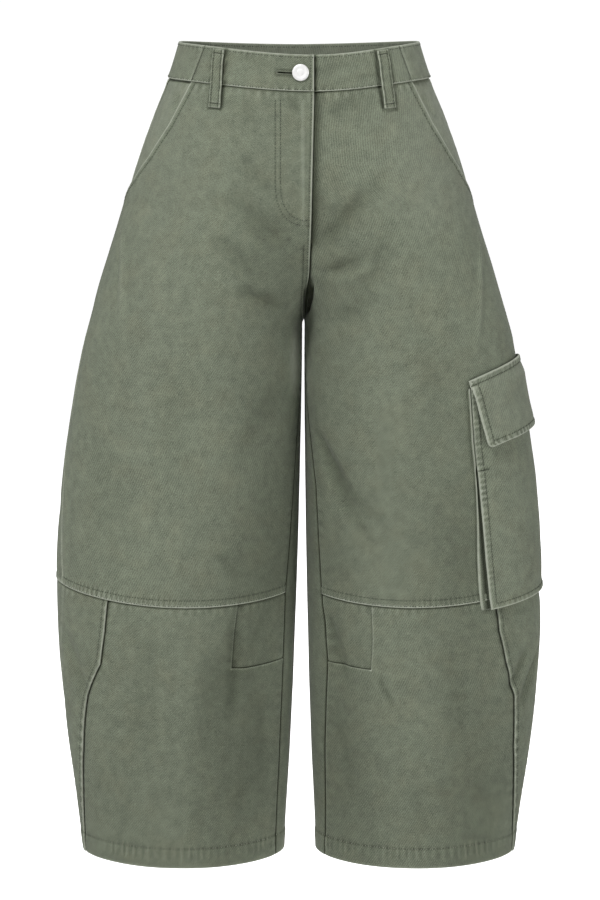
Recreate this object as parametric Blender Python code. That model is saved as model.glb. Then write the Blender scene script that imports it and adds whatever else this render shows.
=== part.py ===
"""Cropped barrel-leg cargo trousers, filled out as worn: one named solid for each cut piece.

Metres, +Z up. The front faces -Y and the wearer's left leg is at +X. The origin is the centre of
the waistband's ring. A place on the cloth is a side (-1 or 1), an angle round that side's section
(0 on the outer side, 90 at the front, 180 between the legs, 270 at the back) and a level.
"""
import bpy
import bmesh
from math import cos, pi, radians, sin
from mathutils import Matrix, Vector

MM = 0.001

# Cloth
CLOTH = 1.6 * MM            # twill panel
BAND = 3.0 * MM             # waistband, two layers and a stiffener
BAND_PROUD = 0.5 * MM       # how far the band stands outside the panels
TURN_UP = 1.4 * MM          # hem turned up inside
SEAM = 0.3 * MM             # gap between neighbouring pieces

# Levels: heights at the side seam
WAIST_TOP = 19 * MM
WAIST_SEAM = -19.5 * MM
POCKET_END = -153 * MM      # lower end of the slant pocket
CROTCH = -279 * MM
KNEE = -561 * MM
HEM = -866 * MM
HEM_DEPTH = 22 * MM
HEM_INSET = 1 * MM          # the turn-up stops this far above the leg's edge
TRUNK_BLEND = 246 * MM      # above the crotch, the two legs' sections become one over this height
JOINING = 0.8               # and how early they do

FULLNESS = 2.3              # exponent of the oval sections


class Table:
    """Rows of sizes under named columns. The first column is the level in mm, falling."""

    def __init__(self, columns, *rows):
        self.levels = [row[0] * MM for row in rows]
        self.columns = {name: [row[k] for row in rows] for k, name in enumerate(columns)}

    def find(self, column, level):
        """The row above a level, how far below that row the level lies, and the values."""
        level = min(max(level, self.levels[-1]), self.levels[0])
        above = [i for i, height in enumerate(self.levels[:-1]) if height >= level][-1]
        drop = (self.levels[above] - level) / (self.levels[above] - self.levels[above + 1])
        return above, drop, self.columns[column]

    def line(self, column, level):
        """Straight from row to row."""
        above, drop, values = self.find(column, level)
        return values[above] + (values[above + 1] - values[above]) * drop

    def curve(self, column, level):
        """A smooth curve through the rows."""
        above, drop, values = self.find(column, level)
        span = self.levels[above] - self.levels[above + 1]

        def slope(row):
            first, last = max(row - 1, 0), min(row + 1, len(values) - 1)
            return (values[last] - values[first]) / (self.levels[first] - self.levels[last]) * span

        return (values[above] * (2 * drop**3 - 3 * drop**2 + 1)
                + slope(above) * (drop**3 - 2 * drop**2 + drop)
                + values[above + 1] * (3 * drop**2 - 2 * drop**3)
                + slope(above + 1) * (drop**3 - drop**2))


# Section sizes in mm: half width to the outer side, depth in front, depth behind
SECTIONS = Table(
    ("level", "width", "front", "back"),
    (22, 127.5, 90, 94),
    (-20, 141.0, 96, 106),
    (-65, 159.0, 102, 124),
    (-110, 175.0, 106, 136),
    (-180, 196.5, 108, 140),
    (-250, 218.5, 107, 131),
    (-330, 239.0, 102, 114),
    (-410, 253.5, 97, 101),
    (-490, 262.0, 92, 91),
    (-560, 265.0, 88, 85),
    (-640, 263.0, 83, 80),
    (-720, 257.0, 77, 75),
    (-800, 246.5, 70, 69),
    (-880, 236.0, 65, 65),
)

# Half of the gap between the legs, in mm
GAPS = Table(
    ("level", "half"),
    (-279, 0.0),
    (-284, 1.2),
    (-340, 1.3),
    (-391, 1.9),
    (-444, 2.8),
    (-522, 4.6),
    (-574, 5.9),
    (-679, 8.9),
    (-757, 12.1),
    (-836, 16.3),
    (-868, 17.5),
)

# Where the seam between the legs lies in x, in mm: the fly edge above, the gap's middle below
MIDDLES = Table(
    ("level", "front", "back"),
    (22, 16.0, 0.0),
    (-30, 16.0, 0.0),
    (-160, 13.0, 0.0),
    (-220, 10.5, 1.5),
    (-279, 4.8, 4.8),
    (-500, 3.5, 3.5),
    (-868, 1.0, 1.0),
)

# How far each level line dips below its height at the side, in mm, and how steeply in front
DIPS = Table(
    ("level", "front", "back", "inner", "power"),
    (22, 9.0, 6.5, 0.0, 4.0),
    (-18, 10.2, 7.5, 0.0, 4.0),
    (-90, 7.0, 5.0, 0.0, 2.5),
    (-220, 1.0, 1.0, 0.0, 2.0),
    (-303.5, 0.0, 0.0, 0.0, 2.0),
    (-480, 10.0, 7.0, 4.0, 2.0),
    (-564, 17.0, 12.0, 8.0, 2.0),
    (-700, 10.0, 8.0, 3.0, 2.0),
    (-868, 7.5, 5.0, 0.0, 2.0),
)

# Seams as angles in degrees. The wearer's right and left differ a little.
SEAMS = Table(
    ("level", "side", "inseam_right", "inseam_left"),
    (22, -8, 180, 180),
    (-180, -8, 180, 180),
    (-303.5, -3, 180, 180),
    (-330, -1, 173, 171),
    (-400, 6, 162, 158),
    (-450, 15, 158, 151),
    (-561, 26, 151, 147),
    (-639, 16, 151, 143),
    (-740, 5, 151, 147),
    (-866, 0, 152, 151),
)
LOWER_SEAMS = Table(
    ("level", "shaped_right", "shaped_left", "inset_right", "inset_left", "back_shaped"),
    (-561, 58, 54, 120, 116, -50),
    (-600, 56, 53, 119, 116, -48),
    (-639, 53, 48.5, 118, 117, -44),
    (-680, 43, 41, 118, 117, -38),
    (-740, 36, 37, 118, 117, -31),
    (-800, 27, 28.5, 118, 117, -25),
    (-866, 18, 18, 118, 117, -19),
)

# How far the left leg's side is pressed in under the cargo pocket, in mm
PRESSES = Table(
    ("level", "depth"),
    (-300, 0.0),
    (-340, 3.0),
    (-400, 7.0),
    (-520, 6.5),
    (-560, 5.0),
    (-590, 1.5),
    (-620, 0.0),
)

# Slant pocket edge as an angle in degrees
SLANTS = Table(
    ("level", "angle"),
    (22, 41),
    (-17, 37),
    (-64, 32),
    (-100, 24.5),
    (-125, 15.5),
    (-142, 4),
    (-153, -8),
)
FACING_CLEAR = 0.9 * MM
FACING_TUCK = radians(5.4)      # the hip piece runs this far round under the front
FACING_SEAM_TUCK = radians(2.3)  # and this far under the back

# Waistband
JOIN_TOP = 39.5             # seam between front and back band, in degrees
JOIN_BOTTOM = 36.7

# Button and buttonhole
BUTTON_X = 1.7 * MM
BUTTON_LEVEL = 0.0 * MM
BUTTON_RADIUS = 9.2 * MM
BUTTON_CLEAR = 0.4 * MM     # between the button's cap and the waistband
HOLE_START = -23 * MM
HOLE_END = 4.2 * MM
HOLE_HEIGHT = 3.0 * MM
SHANK_RADIUS = 1.1 * MM

# Fly underlap
UNDERLAP_START = -26 * MM
UNDERLAP_END = 30 * MM
UNDERLAP_BOTTOM = -172 * MM
UNDERLAP_CLEAR = 0.7 * MM

# Belt loops
LOOP_WIDTH = 13 * MM
LOOP_TOP = 16.5 * MM
LOOP_BOTTOM = -43.5 * MM
LOOP_CLOTH = 1.8 * MM
LOOP_REST = 0.5 * MM        # clearance at the sewn ends
LOOP_RISE = 2.4 * MM        # extra clearance in the middle
LOOP_FOLD = 1.4 * MM        # extra thickness of the turned ends
LOOP_SEWN = 0.22            # share of the length over which it rises from each sewn end
LOOP_PLACES = (
    ("belt_loop_front_right", -1, 48.9, 52.9),
    ("belt_loop_front_left", 1, 53.2, 55.3),
    ("belt_loop_back_right", -1, -34, -37),
    ("belt_loop_back_left", 1, -34, -37),
    ("belt_loop_back_centre", 1, -90, -90),
)

# Cargo pocket, on the left leg. Each piece reaches as many degrees to both sides of its middle
# at its top and low edge, whose levels in mm fall off by the sag towards the ends.
POCKET_MIDDLE = 11
POCKET_FACE = dict(reach_top=49, reach_low=46.7, level_top=-337, level_low=-574, sag_top=14, sag_low=-1)
POCKET_FLAP = dict(reach_top=50.5, reach_low=41.6, level_top=-318.5, level_low=-395.5,
                   sag_top=17.5, sag_low=11.5)
POCKET_WIDTH = 172 * MM
POCKET_HEIGHT = 237 * MM
POCKET_CLEAR = 0.8 * MM     # under the gusset and the flap's top edge
FACE_CLEAR = 0.6 * MM       # between the gusset and the face
GUSSET = 1.8 * MM
GUSSET_SHOWS = 7 * MM
GUSSET_TUCK = 9 * MM
GUSSET_INSET = 1 * MM       # it stops this far above the face's low edge
POUCH_RISE = 0.6 * MM       # the face bulges by this much
POUCH_EDGE = 0.2            # within this share of its size from the edges
FLAP = 2.0 * MM

# Mesh: cells round the leg between the seams, and rows in mm between the level seams
RING_CELLS = (3, 6, 3, 7, 8)
UPPER_LEVELS = (-19.5, -57, -96, -112, -127, -142, -153, -185, -213, -236, -255, -267, -274.5,
                -279, -288, -330, -385, -440, -500, -561)
FACING_LEVELS = (-19.5, -57, -96, -127, -155)
INSET_LEVELS = (-561, -587, -613, -639)
LOWER_LEVELS = (-639, -690, -745, -800, -844, -866)

SAGE = (0.165, 0.195, 0.140)
SAGE_DARK = (0.135, 0.160, 0.115)
NICKEL = (0.80, 0.79, 0.76)


def mix(a, b, t):
    return a + (b - a) * t


def smooth(t):
    t = min(max(t, 0.0), 1.0)
    return t * t * (3 - 2 * t)


def across(side, in_front, level):
    """The middle seam's x, and the centre and half width of a section measured out from it."""
    middle = MIDDLES.line("front" if in_front else "back", level) * MM
    width = SECTIONS.curve("width", level) * MM
    if side > 0:
        width -= PRESSES.line("depth", level) * MM
    outer = width - side * middle
    joined = smooth((level - CROTCH) / TRUNK_BLEND) ** JOINING
    inner = GAPS.line("half", level) * MM * (1 - joined) - outer * joined
    return middle, (outer + inner) / 2, (outer - inner) / 2


def oval(angle):
    """A point on the unit oval that every section is stretched from."""
    c, s = cos(angle), sin(angle)
    reach = (abs(c)**FULLNESS + abs(s)**FULLNESS) ** (-1 / FULLNESS)
    return c * reach, s * reach


def surface(side, angle, level):
    """A point on the cloth's outer surface."""
    in_front = sin(angle) >= 0
    middle, centre, half_width = across(side, in_front, level)
    face = "front" if in_front else "back"
    x, y = oval(angle)
    depth = SECTIONS.curve(face, level) * MM
    power = DIPS.line("power", level) if in_front else 2
    dip = DIPS.curve(face, level) * abs(sin(angle)) ** power
    dip += DIPS.curve("inner", level) * (1 - cos(angle)) / 2
    return Vector((middle + side * (centre + half_width * x), -depth * y, level - dip * MM))


def turning(side, angle, level):
    """How far the surface moves for each radian round the section."""
    step = 0.01
    return (surface(side, angle + step, level) - surface(side, angle - step, level)) / (2 * step)


def frame_at(side, angle, level):
    """The point, and the directions round the section, up the cloth and out of it."""
    point = surface(side, angle, level)
    around = turning(side, angle, level).normalized()
    rise = 0.5 * MM
    up = surface(side, angle, level + rise) - surface(side, angle, level - rise)
    up = (up - around * up.dot(around)).normalized()
    out = around.cross(up) * -side
    return point, around, up, out


def cloth_point(side, angle, level, lift=0.0, keep_side=False):
    point, around, up, out = frame_at(side, angle, level)
    point = point + out * lift
    if keep_side:
        in_front = sin(angle) >= 0
        middle = across(side, in_front, level)[0]
        point.x = middle + side * max(side * (point.x - middle), SEAM / 2)
    return point


def angle_at(side, x, level, in_front=True):
    """The angle at which the section passes a distance x out from the middle seam."""
    middle, centre, half_width = across(side, in_front, level)
    low, high = 0.0, pi
    for _ in range(40):
        angle = (low + high) / 2
        if centre + half_width * oval(angle)[0] > x:
            low = angle
        else:
            high = angle
    return low if in_front else 2 * pi - low


def seam_angle(name, side, level):
    if name in ("inseam", "shaped", "inset"):
        name += "_left" if side > 0 else "_right"
    seams = SEAMS if name in SEAMS.columns else LOWER_SEAMS
    return radians(seams.line(name, level))


def front_edge(side, level):
    """The front's inner edge: the fly and crotch seam, then the inseam."""
    if level >= CROTCH:
        return angle_at(side, 0.0, level)
    return seam_angle("inseam", side, level)


def back_edge(side, level):
    """The back's inner edge: the seat seam, then the inseam."""
    if level >= CROTCH:
        return angle_at(side, 0.0, level, in_front=False)
    return seam_angle("inseam", side, level)


def material(name, colour, roughness, metallic=0.0):
    made = bpy.data.materials.new(name)
    made.use_nodes = True
    shader = made.node_tree.nodes["Principled BSDF"]
    shader.inputs["Base Color"].default_value = (*colour, 1.0)
    shader.inputs["Roughness"].default_value = roughness
    shader.inputs["Metallic"].default_value = metallic
    return made


def finish(name, bm, colour, roughness=0.85, metallic=0.0):
    bmesh.ops.recalc_face_normals(bm, faces=bm.faces)
    if bm.calc_volume(signed=True) < 0:
        bmesh.ops.reverse_faces(bm, faces=bm.faces)
    mesh = bpy.data.meshes.new(name)
    bm.to_mesh(mesh)
    bm.free()
    mesh.shade_smooth()
    mesh.set_sharp_from_angle(angle=radians(40))
    made = bpy.data.objects.new(name, mesh)
    made.data.materials.append(material(name, colour, roughness, metallic))
    bpy.context.collection.objects.link(made)
    return made


def slab(name, columns, rows, place, missing=(), closed=False, colour=SAGE):
    """A grid of cells made into a thin wall. place(i, j, trim, inside) gives each corner's point.

    trim holds -1, 0 or 1 for each direction: towards the cloth from an edge, to leave the seam's
    gap. inside is 0 on the outer face and 1 on the inner face.
    """
    bm = bmesh.new()
    bmesh.ops.create_grid(bm, x_segments=columns, y_segments=rows, size=1)

    def cell(face):
        middle = face.calc_center_median()
        return int((middle.x + 1) / 2 * columns), int((middle.y + 1) / 2 * rows)

    gone = [face for face in bm.faces if cell(face) in missing]
    bmesh.ops.delete(bm, geom=gone, context="FACES")
    kept = {cell(face) for face in bm.faces}
    for vert in bm.verts:
        vert.co.z = 1.0
    made = bmesh.ops.extrude_face_region(bm, geom=list(bm.faces))
    for item in made["geom"]:
        if isinstance(item, bmesh.types.BMVert):
            item.co.z = 0.0
    if closed:
        ends = [face for face in bm.faces if all(abs(vert.co.x) > 0.999 for vert in face.verts)]
        bmesh.ops.delete(bm, geom=ends, context="FACES_ONLY")
    for vert in bm.verts:
        i = round((vert.co.x + 1) / 2 * columns)
        j = round((vert.co.y + 1) / 2 * rows)
        right = ((i, j) in kept) + ((i, j - 1) in kept)
        left = ((i - 1, j) in kept) + ((i - 1, j - 1) in kept)
        above = ((i, j) in kept) + ((i - 1, j) in kept)
        below = ((i, j - 1) in kept) + ((i - 1, j - 1) in kept)
        trim = ((right > left) - (right < left), (above > below) - (above < below))
        if closed:
            trim = (0, trim[1])
        inside = round(1 - vert.co.z)
        vert.co = place(i, j, trim, inside)
    if closed:
        bmesh.ops.remove_doubles(bm, verts=bm.verts, dist=0.001 * MM)
    return finish(name, bm, colour)


def panel(name, side, columns, levels, angle_of, missing=(), thick=CLOTH, lift=0.0, colour=SAGE):
    """A piece of a leg or the trunk, on the form, with rows at the levels given from the top."""
    levels = [level * MM for level in reversed(levels)]

    def place(i, j, trim, inside):
        angle = angle_of(i, levels[j])
        angle += trim[0] * SEAM / 2 / turning(side, angle, levels[j]).length
        level = levels[j] + trim[1] * SEAM / 2
        return cloth_point(side, angle, level, lift - inside * thick, keep_side=True)

    return slab(name, columns, len(levels) - 1, place, missing, colour=colour)


def spaced(start, end, count):
    return [mix(start, end, n / count) for n in range(count + 1)]


def ring_angles(side, level):
    """Column angles all round a leg below the knee, from the side seam round to it again."""
    names = ("side", "shaped", "inset", "inseam", "back_shaped", "side")
    turns = (0, 0, 0, 0, 2 * pi, 2 * pi)
    marks = [seam_angle(name, side, level) + turn for name, turn in zip(names, turns)]
    angles = [marks[0]]
    for start, end, cells in zip(marks, marks[1:], RING_CELLS):
        angles += spaced(start, end, cells)[1:]
    return angles


# Columns of the ring at each seam
AT_SHAPED = RING_CELLS[0]
AT_INSET = AT_SHAPED + RING_CELLS[1]
AT_INSEAM = AT_INSET + RING_CELLS[2]
AT_BACK_SHAPED = AT_INSEAM + RING_CELLS[3]
AT_END = AT_BACK_SHAPED + RING_CELLS[4]


def knee_shares(side, first, last):
    """How far across each column is at the knee, so that the pieces meet point to point."""
    angles = ring_angles(side, KNEE)[first:last + 1]
    return [(angle - angles[0]) / (angles[-1] - angles[0]) for angle in angles]


def outer_edge(side, level):
    """The front's outer edge: the slant pocket's opening, then the side seam."""
    if level >= POCKET_END:
        return radians(SLANTS.line("angle", level))
    return seam_angle("side", side, level)


def front(side, name):
    """From the waistband to the knee seam, cut away at the slant pocket."""
    shares = knee_shares(side, 0, AT_INSEAM)

    def angle_of(i, level):
        return mix(outer_edge(side, level), front_edge(side, level), shares[i])

    panel(name, side, AT_INSEAM, UPPER_LEVELS, angle_of)


def hip_facing(side, name):
    """The piece seen in the pocket's opening, one layer in, tucked under the front and back."""
    columns = 6

    def angle_of(i, level):
        start = seam_angle("side", side, level) - FACING_SEAM_TUCK
        edge = radians(SLANTS.line("angle", level)) + FACING_TUCK
        return mix(start, edge, i / columns)

    panel(name, side, columns, FACING_LEVELS, angle_of, lift=-(CLOTH + FACING_CLEAR), colour=SAGE_DARK)


def lower(side, name, first, last, levels, missing=()):
    """A piece below the knee seam, between two columns of the ring."""
    def angle_of(i, level):
        return ring_angles(side, level)[first + i]

    panel(name, side, last - first, levels, angle_of, missing)


def lower_pieces(side, label):
    levels = INSET_LEVELS + LOWER_LEVELS[1:]
    rows = len(levels) - 1
    lower(side, "front_side_lower_" + label, 0, AT_SHAPED, levels)
    lower(side, "back_side_lower_" + label, AT_BACK_SHAPED, AT_END, levels)
    lower(side, "knee_inset_" + label, AT_INSET, AT_INSEAM, INSET_LEVELS)
    # the main lower front has a corner left out for the knee inset
    corner = {(i - AT_SHAPED, j) for i in range(AT_INSET, AT_INSEAM)
              for j in range(rows - len(INSET_LEVELS) + 1, rows)}
    lower(side, "front_lower_" + label, AT_SHAPED, AT_INSEAM, levels, corner)


def back(side, name):
    """From the waistband to the hem, with the outer corner below the knee left out."""
    columns = AT_END - AT_INSEAM
    inner_columns = AT_BACK_SHAPED - AT_INSEAM
    levels = UPPER_LEVELS + INSET_LEVELS[1:] + LOWER_LEVELS[1:]
    lower_rows = len(INSET_LEVELS) + len(LOWER_LEVELS) - 2
    shares = knee_shares(side, AT_INSEAM, AT_END)

    def angle_of(i, level):
        if level < KNEE - 0.01 * MM:
            return ring_angles(side, level)[AT_INSEAM + i]
        return mix(back_edge(side, level), seam_angle("side", side, level) + 2 * pi, shares[i])

    corner = {(i, j) for i in range(inner_columns, columns) for j in range(lower_rows)}
    panel(name, side, columns, levels, angle_of, missing=corner)


def hem(side, name):
    """The turned-up edge inside the leg's opening."""
    levels = (HEM + HEM_INSET, HEM + HEM_DEPTH)

    def place(i, j, trim, inside):
        depth = CLOTH + SEAM + inside * TURN_UP
        return cloth_point(side, ring_angles(side, levels[j])[i], levels[j], -depth)

    slab(name, AT_END, 1, place, closed=True, colour=SAGE_DARK)


def band_front(name, side, levels, angle_of, columns, missing=()):
    levels = [level / MM for level in levels]
    panel(name, side, columns, levels, angle_of, missing, thick=BAND, lift=BAND_PROUD)


def join_angle(level):
    """Where the front and back of the waistband meet."""
    drop = (WAIST_TOP - level) / (WAIST_TOP - WAIST_SEAM)
    return radians(mix(JOIN_TOP, JOIN_BOTTOM, drop))


def waistband():
    # the wearer's right front lies on top at the fly and has the buttonhole
    half_hole = HOLE_HEIGHT / 2
    breaks = (WAIST_TOP, BUTTON_LEVEL + half_hole, BUTTON_LEVEL - half_hole, WAIST_SEAM)
    plain = 5
    columns = plain + 2

    def right_angle(i, level):
        middle = across(-1, True, level)[0]
        hole_start = angle_at(-1, middle - HOLE_START, level)
        if i <= plain:
            return mix(join_angle(level), hole_start, i / plain)
        if i == columns:
            return angle_at(-1, 0.0, level)
        return angle_at(-1, middle - HOLE_END, level)

    band_front("waistband_front_right", -1, breaks, right_angle, columns, missing={(plain, 1)})

    left_columns = 6

    def left_angle(i, level):
        return mix(join_angle(level), angle_at(1, 0.0, level), i / left_columns)

    half_way = mix(WAIST_TOP, WAIST_SEAM, 0.5)
    band_front("waistband_front_left", 1, (WAIST_TOP, half_way, WAIST_SEAM), left_angle, left_columns)

    # the back is one piece, from join to join
    back_columns = 24
    levels = (WAIST_SEAM, half_way, WAIST_TOP)

    def back_place(i, j, trim, inside):
        share = i / back_columns * 2 - 1
        side = 1 if share >= 0 else -1
        angle = mix(-pi / 2, join_angle(levels[j]), abs(share))
        if trim[0]:
            angle -= SEAM / 2 / turning(side, angle, levels[j]).length
        level = levels[j] + trim[1] * SEAM / 2
        return cloth_point(side, angle, level, BAND_PROUD - inside * BAND)

    slab("waistband_back", back_columns, 2, back_place)


def front_place(x, level, lift):
    """A point across the front of the trunk, on either side of the fly."""
    middle = across(1, True, level)[0]
    side = 1 if x >= middle else -1
    return cloth_point(side, angle_at(side, abs(x - middle), level), level, lift)


def fly_underlap():
    """The piece behind the fly that carries the button."""
    columns, rows = 4, 7
    depth = BAND - BAND_PROUD + UNDERLAP_CLEAR

    def place(i, j, trim, inside):
        x = mix(UNDERLAP_START, UNDERLAP_END, i / columns)
        level = mix(UNDERLAP_BOTTOM, WAIST_TOP - 1 * MM, j / rows)
        return front_place(x, level, -depth - inside * CLOTH)

    slab("fly_underlap", columns, rows, place, colour=SAGE_DARK)


def button():
    """A turned metal cap with a shallow dish, on a shank through the buttonhole."""
    middle = across(-1, True, BUTTON_LEVEL)[0]
    angle = angle_at(-1, middle - BUTTON_X, BUTTON_LEVEL)
    seat, around, up, out = frame_at(-1, angle, BUTTON_LEVEL)
    under = BAND_PROUD + BUTTON_CLEAR
    root = -(BAND - BAND_PROUD + UNDERLAP_CLEAR) + SEAM
    rim = BUTTON_RADIUS
    profile = (
        (0, root), (SHANK_RADIUS, root), (SHANK_RADIUS, under), (rim * 0.86, under),
        (rim * 0.98, under + 0.7 * MM), (rim, under + 1.3 * MM), (rim * 0.93, under + 2.2 * MM),
        (rim * 0.72, under + 2.9 * MM), (rim * 0.42, under + 3.0 * MM), (rim * 0.34, under + 2.5 * MM),
        (rim * 0.2, under + 2.4 * MM), (0, under + 2.4 * MM),
    )
    bm = bmesh.new()
    verts = [bm.verts.new((r, 0, h)) for r, h in profile]
    edges = [bm.edges.new(pair) for pair in zip(verts, verts[1:])]
    bmesh.ops.spin(bm, geom=verts + edges, cent=(0, 0, 0), axis=(0, 0, 1), angle=2 * pi,
                   steps=16, use_merge=True)
    bmesh.ops.remove_doubles(bm, verts=bm.verts, dist=0.01 * MM)
    turn = Matrix((around, out.cross(around), out)).transposed().to_4x4()
    made = finish("button", bm, NICKEL, roughness=0.3, metallic=1.0)
    made.matrix_world = Matrix.Translation(seat) @ turn


def belt_loop(name, side, top_angle, bottom_angle):
    """A strip sewn down at both ends, standing a little off the cloth between them."""
    rows = 8

    def place(i, j, trim, inside):
        t = j / rows
        level = mix(LOOP_BOTTOM, LOOP_TOP, t)
        angle = radians(mix(bottom_angle, top_angle, t))
        point, around, up, out = frame_at(side, angle, level)
        clear = LOOP_REST + LOOP_RISE * smooth(min(t, 1 - t) / LOOP_SEWN) + BAND_PROUD
        folded = j <= 1 or j >= rows - 1
        thick = LOOP_CLOTH + LOOP_FOLD * folded
        return point + around * (i - 0.5) * LOOP_WIDTH + out * (clear + thick * (1 - inside))

    slab(name, 1, rows, place)


def patch_place(patch, p, q, lift):
    """A point over the left leg: p runs from the front edge to the back, q from the low edge up."""
    outward = 1 - 2 * p
    angle = POCKET_MIDDLE + outward * mix(patch["reach_low"], patch["reach_top"], q)
    low = patch["level_low"] - patch["sag_low"] * outward**2
    top = patch["level_top"] - patch["sag_top"] * outward**2
    return cloth_point(1, radians(angle), mix(low, top, q) * MM, lift)


def cargo_pocket():
    over_gusset = POCKET_CLEAR + GUSSET + FACE_CLEAR
    face_columns, face_rows = 12, 7

    def face_place(i, j, trim, inside):
        p = i / face_columns
        q = j / face_rows
        rise = POUCH_RISE * smooth(min(p, 1 - p, q, (1 - q) / 2) / POUCH_EDGE)
        return patch_place(POCKET_FACE, p, q, over_gusset + rise + CLOTH * (1 - inside))

    slab("cargo_pocket_face", face_columns, face_rows, face_place)

    # the gusset is a flat folded strip down one side, along the bottom and up the other
    path = ([(0, 1 - n / face_rows) for n in range(face_rows)]
            + [(n / face_columns, 0) for n in range(face_columns)]
            + [(1, n / face_rows) for n in range(face_rows + 1)])

    def gusset_place(i, j, trim, inside):
        p, q = path[i]
        side = (p == 1) - (p == 0)
        if j == 0:
            p += side * GUSSET_SHOWS / POCKET_WIDTH
            q += (q == 0) * GUSSET_INSET / POCKET_HEIGHT
        else:
            p -= side * GUSSET_TUCK / POCKET_WIDTH
            q += (q == 0) * GUSSET_TUCK / POCKET_HEIGHT
        return patch_place(POCKET_FACE, p, q, POCKET_CLEAR + GUSSET * (1 - inside))

    slab("cargo_pocket_gusset", len(path) - 1, 1, gusset_place, colour=SAGE_DARK)

    # the flap lies over the face's top edge and comes down to the leg above it
    flap_columns = 12
    heights = (0, 0.3, 0.6, 0.86, 1)
    over_face = over_gusset + CLOTH + POUCH_RISE + SEAM

    def flap_place(i, j, trim, inside):
        lift = POCKET_CLEAR if j == len(heights) - 1 else over_face
        return patch_place(POCKET_FLAP, i / flap_columns, heights[j], lift + FLAP * (1 - inside))

    slab("cargo_pocket_flap", flap_columns, len(heights) - 1, flap_place)


def main():
    for made in list(bpy.data.objects):
        bpy.data.objects.remove(made, do_unlink=True)
    for side, label in ((-1, "right"), (1, "left")):
        front(side, "front_" + label)
        hip_facing(side, "hip_facing_" + label)
        back(side, "back_" + label)
        lower_pieces(side, label)
        hem(side, "hem_" + label)
    waistband()
    fly_underlap()
    button()
    for name, side, top_angle, bottom_angle in LOOP_PLACES:
        belt_loop(name, side, top_angle, bottom_angle)
    cargo_pocket()


main()
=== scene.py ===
import bmesh
import bpy
import numpy as np
from math import pi, radians, sin
from mathutils import Matrix, Vector, noise
from mathutils.bvhtree import BVHTree


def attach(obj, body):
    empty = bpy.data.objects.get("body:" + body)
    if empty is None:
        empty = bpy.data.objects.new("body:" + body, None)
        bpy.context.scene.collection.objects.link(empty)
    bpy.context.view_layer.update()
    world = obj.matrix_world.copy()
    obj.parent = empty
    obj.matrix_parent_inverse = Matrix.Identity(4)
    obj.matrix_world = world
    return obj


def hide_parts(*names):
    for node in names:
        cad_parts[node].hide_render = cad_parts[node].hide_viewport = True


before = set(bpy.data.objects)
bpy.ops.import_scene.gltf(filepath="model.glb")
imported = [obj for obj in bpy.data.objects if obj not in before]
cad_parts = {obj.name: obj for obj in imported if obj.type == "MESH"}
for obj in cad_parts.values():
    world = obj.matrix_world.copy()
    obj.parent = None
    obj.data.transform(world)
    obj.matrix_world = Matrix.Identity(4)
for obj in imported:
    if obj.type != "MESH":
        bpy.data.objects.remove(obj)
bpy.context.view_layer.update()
mm = 0.001
print("frame loaded,", len(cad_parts), "nodes")

# The form all the cloth lies on. A place is a side (-1 the wearer's right, 1 the left), an angle
# round that side's section (0 outer side, 90 front, 180 between the legs, 270 back) and a level,
# which is a height at the side seam. Sizes are in millimetres and angles in degrees.
form = {
    "fullness": 2.3,
    "waistTop": 19,
    "waistSeam": -19.5,
    "pocketEnd": -153,
    "crotch": -279,
    "joinHeight": 246,
    "joining": 0.8,
    "knee": -562.5,
    "insetEnd": -639,
    "hem": -866,
    "section": {
        "level": (22, -20, -65, -110, -180, -250, -330, -410, -490, -560, -640, -720, -800, -880),
        "width": (127.5, 141, 159, 175, 196.5, 218.5, 239, 253.5, 262, 265, 263, 257, 246.5, 236),
        "front": (90, 96, 102, 106, 108, 107, 102, 97, 92, 88, 83, 77, 70, 65),
        "back": (94, 106, 124, 136, 140, 131, 114, 101, 91, 85, 80, 75, 69, 65),
    },
    "gap": {
        "level": (-279, -284, -340, -391, -444, -522, -574, -679, -757, -836, -868),
        "half": (0, 1.2, 1.3, 1.9, 2.8, 4.6, 5.9, 8.9, 12.1, 16.3, 17.5),
    },
    "middle": {
        "level": (22, -30, -160, -220, -279, -500, -868),
        "front": (16, 16, 13, 10.5, 4.8, 3.5, 1),
        "back": (0, 0, 0, 1.5, 4.8, 3.5, 1),
    },
    "dip": {
        "level": (22, -18, -90, -220, -303.5, -480, -564, -700, -868),
        "front": (10.3, 10.4, 7, 1, 0, 10, 17, 10, 9.9),
        "power": (4, 4, 2.5, 2, 2, 2, 2, 2, 2),
        "back": (6.5, 7.5, 5, 1, 0, 7, 12, 8, 5),
        "inner": (0, 0, 0, 0, 0, 4, 8, 3, 0),
    },
    "press": {
        "level": (-300, -340, -400, -520, -560, -590, -620),
        "depth": (0, 3, 7, 6.5, 5, 1.5, 0),
    },
}

seams = {
    "slant": {
        "level": (22, -17, -64, -100, -125, -142, -153),
        "both": (41, 37, 32, 24.5, 15.5, 4, -8),
    },
    "side": {
        "level": (22, -180, -303.5, -330, -400, -450, -561, -639, -740, -866),
        "both": (-8, -8, -3, -1, 6, 15, 26, 16, 5, 0),
    },
    "inseam": {
        "level": (-303.5, -330, -400, -450, -561, -639, -740, -866),
        "right": (180, 173, 162, 158, 151, 151, 151, 152),
        "left": (180, 171, 158, 151, 147, 143, 147, 151),
    },
    "shaped": {
        "level": (-561, -600, -639, -680, -740, -800, -866),
        "right": (58, 56, 53, 43, 36, 27, 18),
        "left": (54, 53, 48.5, 41, 37, 28.5, 18),
    },
    "inset": {
        "level": (-561, -600, -639, -866),
        "right": (120, 119, 118, 118),
        "left": (116, 116, 117, 117),
    },
    "backShaped": {
        "level": (-561, -600, -639, -680, -740, -800, -866),
        "both": (310, 312, 316, 322, 329, 335, 341),
    },
    "bandJoin": {
        "level": (19, -17),
        "both": (39.5, 36.7),
    },
}


def smooth(t):
    t = np.clip(t, 0, 1)
    return t * t * (3 - 2 * t)


def bump(t):
    return np.exp(-t * t)


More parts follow.
